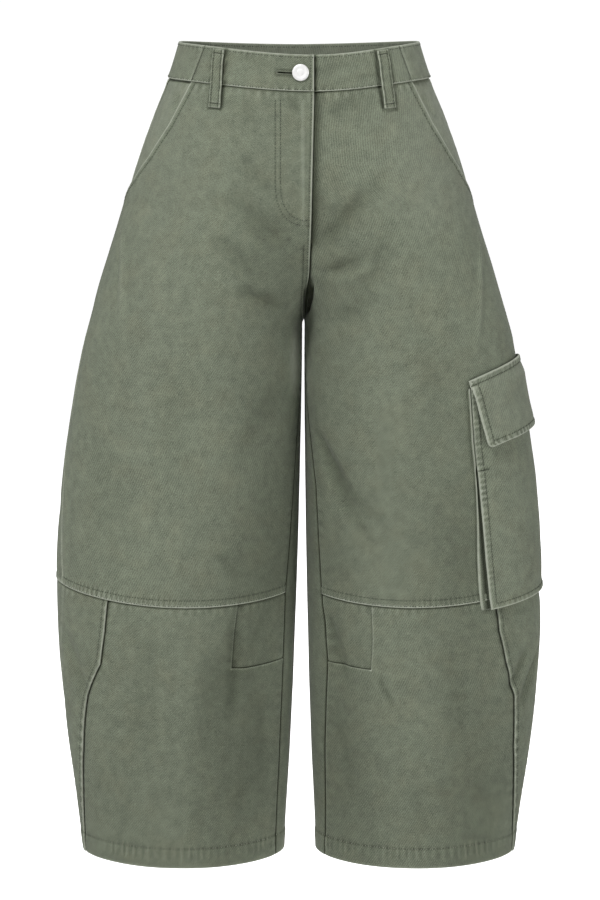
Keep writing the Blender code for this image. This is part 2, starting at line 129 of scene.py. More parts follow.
def line(table, column, level):
    return np.interp(-np.asarray(level, float), -np.array(table["level"], float), table[column])


def curve(table, column, level):
    rows = -np.array(table["level"], float)
    values = np.array(table[column], float)
    slope = np.gradient(values, rows)
    slope[1:-1] = (values[2:] - values[:-2]) / (rows[2:] - rows[:-2])
    at = np.clip(-np.asarray(level, float), rows[0], rows[-1])
    row = np.clip(np.searchsorted(rows, at, side="right") - 1, 0, len(rows) - 2)
    span = rows[row + 1] - rows[row]
    t = (at - rows[row]) / span
    return (values[row] * (2 * t**3 - 3 * t**2 + 1) + slope[row] * span * (t**3 - 2 * t**2 + t)
            + values[row + 1] * (3 * t**2 - 2 * t**3) + slope[row + 1] * span * (t**3 - t**2))


def curlOf(gap, roll):
    # how far an edge rounded over by roll falls away, at a distance gap from it
    return roll - np.sqrt(np.clip(roll**2 - np.clip(roll - gap, 0, roll) ** 2, 0, None))


def faced(read, name, inFront, level):
    return np.where(inFront, read(form[name], "front", level), read(form[name], "back", level))


def across(side, inFront, level):
    # the middle seam's x, and the section's centre and half width measured out from it
    middle = faced(line, "middle", inFront, level)
    width = curve(form["section"], "width", level) - (side > 0) * line(form["press"], "depth", level)
    outer = width - side * middle
    joined = smooth((level - form["crotch"]) / form["joinHeight"]) ** form["joining"]
    inner = line(form["gap"], "half", level) * (1 - joined) - outer * joined
    return middle, (outer + inner) / 2, (outer - inner) / 2


def oval(angle):
    c, s = np.cos(angle), np.sin(angle)
    reach = (np.abs(c) ** form["fullness"] + np.abs(s) ** form["fullness"]) ** (-1 / form["fullness"])
    return c * reach, s * reach


def surface(side, angle, level):
    inFront = np.sin(angle) >= 0
    middle, centre, halfWidth = across(side, inFront, level)
    x, y = oval(angle)
    depth, dip = faced(curve, "section", inFront, level), faced(curve, "dip", inFront, level)
    power = np.where(inFront, line(form["dip"], "power", level), 2)
    dip = dip * np.abs(np.sin(angle)) ** power + curve(form["dip"], "inner", level) * (1 - np.cos(angle)) / 2
    spot = (middle + side * (centre + halfWidth * x), -depth * y, level - dip)
    return np.stack(np.broadcast_arrays(*spot), axis=-1) * mm


def unit(v):
    return v / np.linalg.norm(v, axis=-1, keepdims=True)


def formAt(side, angle, level):
    # the point on the form, and the directions round it, up it and out of it
    turn, rise = 0.01, 0.5
    spot = surface(side, angle, level)
    around = unit(surface(side, angle + turn, level) - surface(side, angle - turn, level))
    up = surface(side, angle, level + rise) - surface(side, angle, level - rise)
    up = unit(up - around * np.sum(up * around, axis=-1, keepdims=True))
    out = np.cross(around, up) * -np.asarray(side)[..., None]
    return spot, around, up, out


def angleAt(side, x, level, inFront=True):
    # the angle at which the section passes x millimetres out from the middle seam
    level = np.asarray(level, float)
    middle, centre, halfWidth = across(side, inFront, level)
    low, high = np.zeros_like(level + x), np.full_like(level + x, pi)
    for step in range(34):
        angle = (low + high) / 2
        short = centre + halfWidth * oval(angle)[0] > x
        low, high = np.where(short, angle, low), np.where(short, high, angle)
    return low if inFront else 2 * pi - low


def seamAngle(name, side, level):
    table = seams[name]
    column = "both" if "both" in table else ("left" if side > 0 else "right")
    return np.radians(line(table, column, level))


def seam(name, side, turn=0):
    return lambda level: seamAngle(name, side, level) + radians(turn)


def riseEdge(side, inFront):
    # along the rise seam above the crotch, and along the inseam below it
    def edge(level):
        high = angleAt(side, 0, np.maximum(level, form["crotch"]), inFront)
        return np.where(level >= form["crotch"], high, seamAngle("inseam", side, level))
    return edge


def outerEdge(side):
    return lambda level: np.where(level >= form["pocketEnd"], seamAngle("slant", side, level),
                                  seamAngle("side", side, level))


# Lines on the cloth: seams, folds and rows of stitches
def makePath(points, outs):
    steps = np.linalg.norm(np.diff(points, axis=0), axis=1) / mm
    return {"points": points, "outs": outs, "along": np.concatenate(([0], np.cumsum(steps)))}


def onForm(side, angle, level):
    spot, around, up, out = formAt(side, angle, level)
    return makePath(spot, out)


def tracePath(side, places, count=24):
    # a smooth line through two to four places, each an angle in degrees and a level
    marks = np.arange(len(places))
    fine = np.linspace(0, len(places) - 1, count)
    angles, levels = (np.polyval(np.polyfit(marks, column, len(places) - 1), fine) for column in zip(*places))
    return onForm(side, np.radians(angles), levels)


def frontSpot(x, level):
    # the side and the angle of a place across the front of the trunk
    middle = across(1, True, level)[0]
    side = np.where(x >= middle, 1, -1)
    return side, angleAt(side, np.abs(x - middle), level)


def frontPath(x, level):
    x, level = np.asarray(x, float), np.asarray(level, float)
    return onForm(*frontSpot(x, level), level)


def near(spots, path, reach):
    # how far each spot lies from a path, how far along it and on which side, in millimetres
    apart, along, hand = np.full(len(spots), 1e3), np.zeros(len(spots)), np.ones(len(spots))
    low, high = path["points"].min(0) - reach * mm, path["points"].max(0) + reach * mm
    some = np.flatnonzero(np.all((spots > low) & (spots < high), axis=1))
    for n in range(len(path["points"]) - 1 if len(some) else 0):
        start, step = path["points"][n], path["points"][n + 1] - path["points"][n]
        share = np.clip((spots[some] - start) @ step / (step @ step + 1e-12), 0, 1)
        gap = spots[some] - start - share[:, None] * step
        distance = np.linalg.norm(gap, axis=1) / mm
        closer = distance < apart[some]
        hit = some[closer]
        apart[hit] = distance[closer]
        along[hit] = path["along"][n] + share[closer] * (path["along"][n + 1] - path["along"][n])
        hand[hit] = np.where(gap[closer] @ np.cross(path["outs"][n], step) < 0, -1, 1)
    return apart, along, hand


# Creases and soft folds: side, depth (below 0 for a trough), half width, lean (which raises one lip
# and lowers the other) and the places they pass, each an angle and a level
folds = [
    # drag lines from the fly and the crotch to the hips
    (1, -1.9, 10, 0.5, (116, -196), (102, -180), (86, -154), (62, -112)),
    (1, -1.8, 8, 0.5, (122, -224), (106, -215), (86, -198)),
    (1, -1.5, 11, 0.4, (120, -259), (98, -231), (83, -200), (69, -156)),
    (1, -1.1, 9, 0.4, (134, -277), (114, -263), (94, -243)),
    (-1, -1.7, 13, 0.5, (66, -128), (84, -164), (110, -200)),
    (-1, -1.2, 9, 0.5, (66, -92), (77, -118), (90, -148)),
    (-1, -1.6, 9, 0.4, (98, -238), (118, -254), (140, -266)),
    (-1, -1.1, 11, 0.5, (70, -176), (92, -212), (115, -238)),
    # soft folds along the waistband
    (-1, -0.45, 5, 0.7, (46, 9), (60, 6), (80, -2)),
    (1, -0.5, 5, -0.7, (103, -4), (88, 3), (62, 7)),
    (1, -0.35, 4, 0.6, (74, -13), (60, -9), (44, -12)),
    # soft marks below the waistband
    (1, -1.2, 8, 0.5, (84, -50), (72, -38), (58, -29)),
    (-1, -1.0, 4, 0.6, (80, -24), (82, -34), (85, -50)),
    (-1, -0.8, 8, 0.5, (58, -30), (66, -52), (70, -78)),
    # pressed lines running on from the slant pockets
    (-1, 0.9, 4, 0.9, (16, -170), (31, -206), (42, -248), (49, -292)),
    (1, 0.6, 4, 0.9, (16, -172), (31, -212), (46, -262), (60, -335)),
    # thighs
    (1, -2.0, 9, 0.6, (152, -386), (138, -436), (127, -474), (113, -512)),
    (1, -1.3, 9, 0.5, (141, -410), (126, -455), (106, -498)),
    (-1, -0.8, 17, -0.5, (152, -345), (128, -392), (117, -450)),
    (-1, -0.7, 20, 0.6, (84, -310), (83, -385), (88, -465)),
    (1, -0.7, 18, -0.6, (72, -300), (78, -370), (80, -440)),
    (-1, -0.7, 16, 0.5, (48, -400), (56, -470), (62, -530)),
    # knees and insets
    (-1, -1.0, 10, 0.6, (108, -508), (117, -532), (124, -553)),
    (-1, -1.6, 8, -0.6, (122, -562), (120, -603), (120, -650), (116, -730)),
    (-1, -1.3, 16, -0.4, (114, -600), (108, -690), (102, -800)),
    (-1, -0.5, 7, 0.5, (139, -570), (130, -600), (123, -632)),
    (-1, -0.8, 9, -0.4, (134, -668), (139, -740), (138, -815)),
    (1, -1.3, 8, 0.5, (147, -576), (137, -623), (129, -678)),
    (1, -1.0, 4, 0.6, (115, -645), (110, -667), (104, -696)),
    (1, -0.7, 10, 0.4, (143, -676), (132, -750), (127, -824)),
    # shins and hems
    (-1, -1.0, 15, 0.6, (79, -590), (73, -668), (70, -752)),
    (1, -1.0, 14, -0.6, (80, -596), (73, -675), (68, -750)),
    (-1, -0.4, 3, 0.7, (118, -826), (117, -842), (116, -858)),
    (1, -1.8, 7, 0.7, (8, -634), (26, -662), (40, -702)),
    (1, -1.3, 7, -0.6, (30, -626), (39, -656), (48, -692)),
    (-1, -1.2, 9, 0.6, (20, -610), (34, -650), (42, -700)),
    (-1, -0.7, 9, 0.6, (95, -770), (99, -810), (97, -850)),
    (1, -0.7, 10, -0.6, (92, -765), (88, -808), (91, -852)),
    # hips, above the side seams
    (-1, -0.9, 4, 0.8, (28, -28), (29, -44), (31, -60)),
    (1, -0.8, 4, -0.7, (30, -30), (27, -48), (24, -64)),
    # seat
    (1, -1.3, 11, 0.6, (262, -60), (282, -92), (306, -118)),
    (-1, -1.2, 12, -0.6, (261, -66), (280, -100), (301, -130)),
    (1, -2.4, 12, 0.6, (232, -262), (256, -244), (282, -240), (308, -252)),
    (-1, -2.2, 12, -0.6, (230, -270), (254, -250), (284, -246), (312, -262)),
    (1, -1.8, 8, 0.7, (214, -300), (238, -292), (262, -296)),
    (-1, -1.7, 9, -0.7, (212, -306), (236, -300), (258, -308)),
    (1, -0.9, 10, 0.6, (318, -60), (326, -100), (330, -150)),
    (-1, -0.9, 10, -0.6, (316, -64), (327, -110), (334, -160)),
    # backs of the legs
    (1, -1.6, 13, 0.6, (205, -350), (226, -386), (240, -440)),
    (-1, -1.7, 14, -0.6, (203, -344), (222, -390), (236, -452)),
    (1, -1.1, 18, 0.6, (286, -330), (282, -400), (276, -470)),
    (-1, -1.1, 17, -0.6, (284, -340), (281, -415), (273, -490)),
    (1, -1.9, 9, 0.7, (212, -520), (246, -540), (286, -532)),
    (-1, -1.8, 9, 0.7, (210, -508), (242, -530), (280, -524)),
    (1, -1.6, 9, -0.7, (218, -584), (250, -572), (292, -584)),
    (-1, -1.7, 10, -0.7, (214, -578), (250, -566), (296, -580)),
    (1, -1.2, 14, 0.5, (222, -640), (252, -690), (262, -760)),
    (-1, -1.2, 14, -0.5, (220, -634), (250, -688), (264, -770)),
    (1, -1.3, 9, 0.6, (302, -600), (318, -640), (330, -700)),
    (-1, -1.2, 9, -0.6, (300, -604), (316, -650), (328, -712)),
    # outer sides of the legs
    (-1, -1.0, 14, 0.6, (-6, -250), (4, -330), (2, -420)),
    (-1, -1.2, 12, -0.6, (8, -470), (-4, -530), (6, -590)),
    (1, -0.9, 12, 0.6, (-8, -215), (2, -255), (-4, -300)),
    (1, -1.2, 10, 0.6, (-20, -610), (-8, -650), (-4, -720)),
    (-1, -0.9, 12, 0.6, (-14, -640), (-6, -700), (-8, -770)),
]
# the tucks beside the crotch seam, with each place an x and a level
tucks = [
    (1, -2.2, 3.4, 0, (12.5, -222), (12.5, -238), (11.5, -250), (9, -264), (5.5, -280)),
    (-1, -0.7, 2.6, 0, (9, -224), (8, -238), (7, -252), (6, -264), (5, -276)),
]
# troughTone paints shade into the fold troughs and ridgeTone a highlight onto their ridges
creasing = {"reach": 3, "start": 0.25, "end": 0.45, "height": 2.9, "lean": 1.4, "troughTone": 0.075,
            "ridgeTone": 0.04}
swell = {"coarse": (6.5, 1.5), "middle": (15, 0.7), "fine": (38, 0.22)}  # waves per metre, height


def foldRelief(side, spots):
    # how far the folds and the cloth's own unevenness move it out from the form, in millimetres
    relief, worn = np.zeros(len(spots)), np.zeros(len(spots))
    for fold in tucks + folds:
        foldSide, depth, width, lean, *places = fold
        mine = np.flatnonzero(side == foldSide)
        if not len(mine):
            continue
        path = frontPath(*zip(*places)) if fold in tucks else tracePath(foldSide, places, 16)
        apart, along, hand = near(spots[mine], path, width * creasing["reach"])
        share, x = along / path["along"][-1], hand * apart / width
        taper = smooth(share / creasing["start"]) * smooth((1 - share) / creasing["end"])
        moved = creasing["height"] * depth * taper * bump(x) * (1 + lean * creasing["lean"] * x)
        relief[mine] += moved
        # painted shade in the troughs and a painted highlight on the ridges
        worn[mine] += np.where(moved < 0, creasing["troughTone"], creasing["ridgeTone"]) * moved
    for n, spot in enumerate(spots):
        for waves, height in swell.values():
            relief[n] += height * noise.noise(Vector(spot) * waves)
    return relief, worn


# How a piece of cloth is finished along an edge, in millimetres: roll rounds the edge over, tuck
# sinks it under its neighbour, welt raises a band as far in as wide, groove is the stitched
# line there and pucker ripples the band, with the ripples' ridges rubbed paler and their hollows
# in painted shade. Fade is how pale the washed edge is, and below 0 it is a painted shadow at laps,
# tucks, joins and beside the belt loops; the shade-and-wear width is how far that fade reaches,
# and rowFade is painted shade along the stitched line.
edgeKinds = {
    "seam": {"roll": 0.6, "tuck": 0.5, "tuckWide": 2.5, "pucker": 0.1, "pitch": 11, "fade": 0.25},
    "under": {"roll": 0.2, "tuck": 1.3, "tuckWide": 2.6, "pucker": 0.35, "pitch": 10, "fade": -0.9,
              "shadeAndWear": 1.3},
    "underLow": {"roll": 0.2, "tuck": 0.6, "tuckWide": 2.6, "fade": -0.9, "shadeAndWear": 1.3},
    "shapedUnder": {"roll": 0.2, "tuck": 1.9, "tuckWide": 2.4, "pucker": 0.15, "pitch": 11, "fade": -2.4,
                    "shadeAndWear": 1.7},
    "inseamUnder": {"roll": 0.4, "tuck": 0.7, "tuckWide": 1.6, "pucker": 0.15, "pitch": 11, "fade": -1.8,
                    "shadeAndWear": 1.2},
    "softUnder": {"roll": 0.2, "tuck": 0.35, "tuckWide": 1.6, "pucker": 0.15, "pitch": 10, "fade": -0.5,
                  "shadeAndWear": 1.2},
    "insetUnder": {"roll": 0.2, "tuck": 0.7, "tuckWide": 1.6, "pucker": 0.15, "pitch": 10, "fade": -1.5,
                   "shadeAndWear": 1.0},
    "over": {"roll": 0.9, "welt": 0.8, "wide": 8, "groove": 0.4, "pucker": 0.42, "pitch": 5.3, "fade": 1.9,
             "shadeAndWear": 1.4, "rowFade": -0.45},
    "edgeStitched": {"roll": 1.1, "welt": 0.7, "wide": 5, "groove": 0.25, "pucker": 0.3, "pitch": 10,
                     "fade": 1.1, "shadeAndWear": 1.1},
    "opening": {"roll": 1.2, "welt": 0.7, "wide": 6.5, "groove": 0.35, "pucker": 0.15, "pitch": 9,
                "fade": 1.7, "shadeAndWear": 1.4, "rowFade": -0.6},
    "flyOver": {"roll": 1.3, "welt": 1.2, "wide": 3, "groove": 0.2, "pucker": 0.12, "pitch": 9, "fade": 1.5,
                "shadeAndWear": 1.2, "rowFade": -0.5},
    "flyUnder": {"roll": 0.2, "tuck": 2.8, "tuckWide": 7, "fade": -1.2, "shadeAndWear": 5.5},
    "flyUnderLow": {"roll": 0.2, "tuck": 1.8, "tuckWide": 4, "fade": -1.5, "shadeAndWear": 1.6},
    "inseamOver": {"roll": 0.8, "tuck": 0.4, "tuckWide": 2.2, "pucker": 0.2, "pitch": 11, "fade": 0.9,
                   "shadeAndWear": 1.1},
    "bandUnder": {"roll": 0.2, "tuck": 2.8, "tuckWide": 4, "fade": -1.5, "shadeAndWear": 2.2},
    "hem": {"roll": 1.3, "welt": 0.5, "wide": 22, "groove": 0.6, "pucker": 0.36, "pitch": 8, "fade": 1.0,
            "shadeAndWear": 1.4, "rowFade": -0.9, "puckerFrom": 10},
    "bandEdge": {"roll": 1.2, "welt": 0.25, "wide": 3.2, "groove": 0.3, "pucker": 0.2, "pitch": 8,
                 "fade": 1.1, "shadeAndWear": 1.2, "rowFade": -0.2},
    "bandLow": {"roll": 1.2, "welt": 0.25, "wide": 1.8, "groove": 0.2, "pucker": 0.35, "pitch": 9,
                "fade": 1.5, "shadeAndWear": 1.1, "rowFade": -0.3},
    "insetEdge": {"roll": 0.7, "welt": 0.2, "wide": 2, "pucker": 0.15, "pitch": 12, "fade": 0.7, "shadeAndWear": 1.0},
    "pressedSeam": {"roll": 0.8, "wide": 2, "pucker": 0.15, "pitch": 11, "fade": 0.6},
    "join": {"roll": 0.7, "tuck": 0.8, "tuckWide": 1.2, "wide": 1.2, "groove": 0.3, "pucker": 0.15,
             "pitch": 8, "fade": -0.9, "shadeAndWear": 1.1, "rowFade": -0.7},
    "hole": {"wide": 2.6, "welt": 0.5, "roll": 0.3, "groove": 0.3, "rowFade": -1.1, "fade": 0.2, "shadeAndWear": 1.5},
    "row": {"wide": 0, "groove": 0.4, "rowFade": -0.55, "pucker": 0.15, "pitch": 6},
    "riseRow": {"wide": 0, "groove": 0.5, "rowFade": -0.6, "fade": -0.25, "shadeAndWear": 2.2, "pucker": 0.15,
                "pitch": 7},
    "pressed": {"wide": 2.2, "welt": 0.35, "fade": 0.45, "pucker": 0.1, "pitch": 14},
    "loopShade": {"wide": 0, "tuck": 0.3, "tuckWide": 1.5, "rowFade": 0, "fade": -1.5, "shadeAndWear": 1.4},
}


def uneven(s, seed):
    return (np.sin(s / 13 + seed) + np.sin(s / 31 + 2.3 * seed) + np.sin(s / 71 + 3.1 * seed)) / 3


def edgeRelief(spots, path, kind):
    apart, along, hand = near(spots, path, kind.get("wide", 6) + 14)
    roll, wide, pitch = kind.get("roll", 0), kind.get("wide", 6), kind.get("pitch", 10)
    rounded = curlOf(apart, roll)
    raised = kind.get("welt", 0) * (1 - smooth((apart - wide + 0.6) / 1.6))
    sunk = kind.get("tuck", 0) * bump(apart / kind.get("tuckWide", 2.5))
    sunk = sunk + kind.get("groove", 0) * bump((apart - wide) / 0.8)
    ripple = np.sin(2 * pi * (along / pitch + 0.9 * uneven(along, pitch)))
    ripple = ripple * (0.7 + 0.9 * uneven(along, 2 * pitch))
    ripple = ripple * kind.get("pucker", 0) * smooth((apart - kind.get("puckerFrom", 0)) / 1.5)
    ripple = ripple * (1 - smooth((apart - wide) / 6))
    worn = kind.get("shadeAndWear", 1.6)
    # pale washed edge, or a painted shadow where fade is below 0; the ripple paints its hollows in shade
    fade = kind.get("fade", 0) * bump((apart - 0.4 * worn) / worn) + 1.1 * ripple
    fade = fade + kind.get("rowFade", -1.3 * kind.get("groove", 0)) * bump((apart - wide) / 0.8)
    return rounded, raised, sunk, ripple, fade


# Thin walls of cloth
cloth = {
    "thick": 1.6, "gap": 0.3, "beneath": 1.5, "fades": (-2.2, 1.3),
    "quiet": 0.8, "quietTurn": 0.5, "quietTop": 20,  # how still the cloth is between the legs
}
loops = {
    "stitched": (0, 0.35, 0.9, 1.8, 3.2, 4.8, 6.2, 7.2, 8.2, 9.6, 12),
    "plain": (0, 0.35, 0.9, 2, 4.5),
    "hem": (0, 0.35, 0.9, 2, 4.5, 8, 12, 16, 19, 20.5, 21.4, 22.2, 23.2, 26),
    "none": (0,),
}
covers = {}
shells = {}


def zoned(length, zones, shares):
    # edge loops close together near the ends of each zone and evenly between, in millimetres
    places = [np.zeros_like(length)]
    for (start, cells, end), share in zip(zones, shares):
        low, high = np.array(loops[start]), np.array(loops[end])
        base = places[-1]
        for offset in low[1:]:
            places.append(base + offset)
        span = length * share - low[-1] - high[-1]
        for n in range(cells):
            places.append(base + low[-1] + span * (n + 1) / cells)
        for offset in high[::-1][1:]:
            places.append(base + length * share - offset)
    return places


def addObject(name, data):
    made = bpy.data.objects.new(name, data)
    bpy.context.collection.objects.link(made)
    return made


def addMesh(name, bm):
    mesh = bpy.data.meshes.new(name)
    bm.to_mesh(mesh)
    bm.free()
    mesh.shade_smooth()
    return addObject(name, mesh)


def wall(name, outer, inner, keep, across, up, fade, closed=False, innerPaintedLight=0):
    # a grid of cells made into a thin wall: outer and inner are its corners on the two faces
    rows, columns = keep.shape
    bm = bmesh.new()
    bmesh.ops.create_grid(bm, x_segments=columns, y_segments=rows, size=1)
    gone = []
    for face in bm.faces:
        middle = face.calc_center_median()
        if not keep[int((middle.y + 1) / 2 * rows), int((middle.x + 1) / 2 * columns)]:
            gone.append(face)
    bmesh.ops.delete(bm, geom=gone, context="FACES")
    for vert in bm.verts:
        vert.co.z = 1
    made = bmesh.ops.extrude_face_region(bm, geom=list(bm.faces))
    for item in made["geom"]:
        if isinstance(item, bmesh.types.BMVert):
            item.co.z = 0
    if closed:
        ends = [face for face in bm.faces if all(abs(vert.co.x) > 0.9999 for vert in face.verts)]
        bmesh.ops.delete(bm, geom=ends, context="FACES_ONLY")
    # the flat map runs to the right and up as seen from outside, so the twill leans one way all over
    j, i = rows // 2, columns // 2
    corner = outer[j, i]
    aside, above, away = outer[j, i + 1] - corner, outer[j + 1, i] - corner, corner - inner[j, i]
    hand = np.sign(np.cross(aside, above) @ away) * np.sign(up[j + 1, i] - up[j, i])
    uvLayer = bm.loops.layers.uv.new("cloth")
    fadeLayer = bm.verts.layers.float.new("fade")
    for vert in bm.verts:
        i = round((vert.co.x + 1) / 2 * columns)
        j = round((vert.co.y + 1) / 2 * rows)
        vert[fadeLayer] = fade[j, i] if vert.co.z > 0.5 else innerPaintedLight
        vert.co = outer[j, i] if vert.co.z > 0.5 else inner[j, i]
        for loop in vert.link_loops:
            loop[uvLayer].uv = hand * across[j, i], up[j, i]
    if closed:
        bmesh.ops.remove_doubles(bm, verts=bm.verts, dist=1e-6)
    if bm.calc_volume(signed=True) < 0:
        bmesh.ops.reverse_faces(bm, faces=bm.faces)
    shells[name] = addMesh(name, bm)
    corners = [[int(j * (columns + 1) + i) for j, i in ((j, i), (j, i + 1), (j + 1, i + 1), (j + 1, i))]
               for j, i in np.argwhere(keep)]
    covers[name] = BVHTree.FromPolygons(outer.reshape(-1, 3).tolist(), corners)


def arcs(side, first, last, level, count=72):
    # angles and running lengths round each row, from first to last
    share = np.linspace(0, 1, count + 1)
    angle = first[:, None] + (last - first)[:, None] * share
    spots = surface(side, angle, level[:, None] * np.ones_like(angle))
    run = np.cumsum(np.linalg.norm(np.diff(spots, axis=1), axis=2), axis=1) / mm
    return angle, np.concatenate((np.zeros((len(level), 1)), run), axis=1)


def gridOn(side, marks, columnZones, levels, rowZones, missing=()):
    # rows of angles between the marks, which are functions of the level, and which cells are kept
    total = float(levels[-1] - levels[0])
    level = levels[0] + np.array(zoned(np.float64(total), rowZones, np.diff(levels) / total))
    angleColumns, keepColumns = [], []
    for n, zone in enumerate(columnZones):
        angle, run = arcs(side, marks[n](level), marks[n + 1](level), level)
        places = np.stack(zoned(run[:, -1], [zone], [1]), axis=1)
        mapped = np.array([np.interp(places[r], run[r], angle[r]) for r in range(len(level))])
        angleColumns.append(mapped if n == 0 else mapped[:, 1:])
        keepColumns += [n] * (mapped.shape[1] - 1)
    angle = np.concatenate(angleColumns, axis=1)
    middles = (level[1:] + level[:-1]) / 2
    rowZone = np.clip(np.searchsorted(levels, middles) - 1, 0, len(rowZones) - 1)
    keep = np.array([[(column, row) not in missing for column in keepColumns] for row in rowZone])
    return angle, np.repeat(level[:, None], angle.shape[1], axis=1), keep


def downSeam(side, angleOf, top, bottom, count=90):
    level = np.linspace(top, bottom, count)
    return onForm(side, angleOf(level), level)


def roundLevel(side, level, first, last, count=70):
    start, end = (float(mark(np.array([level]))[0]) for mark in (first, last))
    return onForm(side, np.linspace(start, end, count), np.full(count, float(level)))


pocketCalm = {"middle": 11, "reach": 55, "top": -306, "low": -586, "fade": 12, "fadeUp": 16}


def calmed(side, angle, level):
    # the cloth lies quiet under the cargo pocket
    turn = (np.degrees(angle) - pocketCalm["middle"] + 180) % 360 - 180
    beside = smooth((np.abs(turn) - pocketCalm["reach"] + pocketCalm["fade"]) / pocketCalm["fade"])
    above = smooth((level - pocketCalm["top"] + pocketCalm["fadeUp"]) / pocketCalm["fadeUp"])
    below = smooth((pocketCalm["low"] - level + pocketCalm["fadeUp"]) / pocketCalm["fadeUp"])
    return np.where(side > 0, np.maximum(np.maximum(beside, above), below), 1)


# painted shade towards the legs' inner and outer sides, for the shade between the legs and beside the
# pocket: how much at each level, how far out from the middle and how wide
shadeAndWear = {
    "level": (-110, -150, -193, -236, -280, -411, -531, -580, -640, -790, -866),
    "right": (0.2, 0.35, 0.7, 0.55, 0.45, 0.7, 1.0, 0.9, 0.95, 0.9, 0.6),
    "rightAt": (0, 20, 25, 25, 22, 24, 34, 44, 58, 64, 70),
    "rightSpread": (40, 45, 45, 45, 48, 50, 54, 50, 46, 54, 58),
    "rightOuter": (-0.08, -0.08, -0.06, -0.05, -0.05, -0.03, 0, 0.1, 0.1, 0.28, 0.28),
    "left": (0.4, 0.5, 0.5, 0.4, 0.4, 0.55, 0.6, 0.55, 0.6, 0.7, 0.65),
    "leftAt": (0, 18, 20, 20, 15, 15, 22, 30, 42, 45, 48),
    "leftSpread": (35, 40, 45, 45, 48, 50, 46, 38, 42, 52, 54),
    "leftOuter": (-0.16, -0.12, 0, 0, 0, 0.3, 0.75, 0.5, 0.42, 0.72, 0.6),
    "outerAt": (145, 150, 155, 160, 165, 175, 180, 185, 190, 190, 190),
    "outerSpread": 55,
    "strip": 0.9, "stripAngle": 178, "stripSpread": 0.28, "stripTop": -380, "stripFade": 80,
}


# the painted shade at each place, from the table above
def shaded(side, x, level):
    worn = 0
    for reach, column in ((-1, "right"), (1, "left")):
        fromInner = (reach * x - line(shadeAndWear, column + "At", level)) / line(shadeAndWear, column + "Spread", level)
        fromOuter = (reach * x - line(shadeAndWear, "outerAt", level)) / shadeAndWear["outerSpread"]
        inner = line(shadeAndWear, column, level) * bump(fromInner)
        outer = line(shadeAndWear, column + "Outer", level) * bump(fromOuter)
        worn = worn + (side == reach) * (inner + outer)
    return worn


# where the legs part: the left and right edges of the deep shadow at each level, and soft light below
parting = {
    "level": (-224, -240, -250, -263, -272, -280), "left": (7, 4.0, 3.7, 3.7, 3.7, 3.7),
    "right": (13, 16, 16.4, 14.4, 9.8, 6.8), "softLeft": 1.2, "softRight": 6.5, "top": (-235, -250),
    "end": -282, "amount": 2.3, "light": 1.7, "lightAt": -322, "lightReach": 40, "lightX": 3, "lightWidth": 8,
}


def partingShade(x, level):
    deep = smooth((x - line(parting, "left", level)) / parting["softLeft"])
    deep = deep * smooth((line(parting, "right", level) - x) / parting["softRight"])
    deep = deep * smooth((level - parting["top"][0]) / (parting["top"][1] - parting["top"][0]))
    deep = deep * (level > parting["end"])
    light = bump((np.abs(x) - parting["lightX"]) / parting["lightWidth"])
    light = light * bump((level - parting["lightAt"]) / parting["lightReach"])
    return parting["light"] * light - parting["amount"] * deep


def innerStrip(side, angle, level):
    # painted light: the back piece beside the right leg's inside seam is painted paler, where it lies in
    # shade
    beside = bump((np.mod(angle, 2 * pi) - radians(shadeAndWear["stripAngle"])) / shadeAndWear["stripSpread"])
    beside = beside * smooth((shadeAndWear["stripTop"] - level) / shadeAndWear["stripFade"])
    return np.where(side < 0, shadeAndWear["strip"], 0) * beside


def panel(name, side, grid, edges, lift=0, thick=None, extra=None, closed=False, innerPaintedLight=0, outerFade=0):
    # a piece of cloth on the form. edges are pairs of a path and how the cloth is finished along it
    shape = grid[0].shape
    angle, level, keep = grid[0].ravel(), grid[1].ravel(), grid[2]
    side = np.broadcast_to(side, shape).ravel()
    thick = thick or cloth["thick"]
    spot, around, up, out = formAt(side, angle, level)
    relief, worn = foldRelief(side, spot)
    relief, worn = relief * calmed(side, angle, level), worn * calmed(side, angle, level)
    between = bump((np.mod(angle, 2 * pi) - pi) / cloth["quietTurn"])
    between = between * (level < form["crotch"] + cloth["quietTop"])
    relief = relief * (1 - cloth["quiet"] * between * (1 - smooth((-relief - 1.5) / 2)))
    # painted shade and light: fold tones, the legs' inner and outer shade, the paler strip and the parting
    worn = worn - shaded(side, spot[:, 0] / mm, level) + innerStrip(side, angle, level)
    worn = worn + np.where(spot[:, 1] < 0, partingShade(spot[:, 0] / mm, level), 0)
    rounded, fade, outward = np.zeros(len(spot)), worn + outerFade, lift + relief
    body = outward.copy()
    for path, kindName in edges:
        kind = edgeKinds[kindName]
        curl, raised, sunk, ripple, pale = edgeRelief(spot, path, kind)
        rounded = np.maximum(rounded, curl)
        outward = outward + raised - sunk + ripple
        body = body - sunk + ripple
        fade = fade + pale
    if extra is not None:
        more = extra(side, angle, level)
        outward, body = outward + more, body + more
    outer = spot + out * ((outward - rounded) * mm)[:, None]
    inner = spot + out * ((body - thick + 0.25 * rounded) * mm)[:, None]
    run = np.cumsum(np.linalg.norm(np.diff(spot.reshape(*shape, 3), axis=1), axis=2), axis=1)
    run = np.concatenate((np.zeros((shape[0], 1)), run), axis=1)
    wall(name, outer.reshape(*shape, 3), inner.reshape(*shape, 3), keep, run, grid[1] * mm,
         np.clip(fade, *cloth["fades"]).reshape(shape), closed, innerPaintedLight)


# Rows of stitches
thread = {"length": 1.75, "pitch": 3.1, "width": 1.05, "height": 0.5, "above": 0.12, "stray": 0.16}
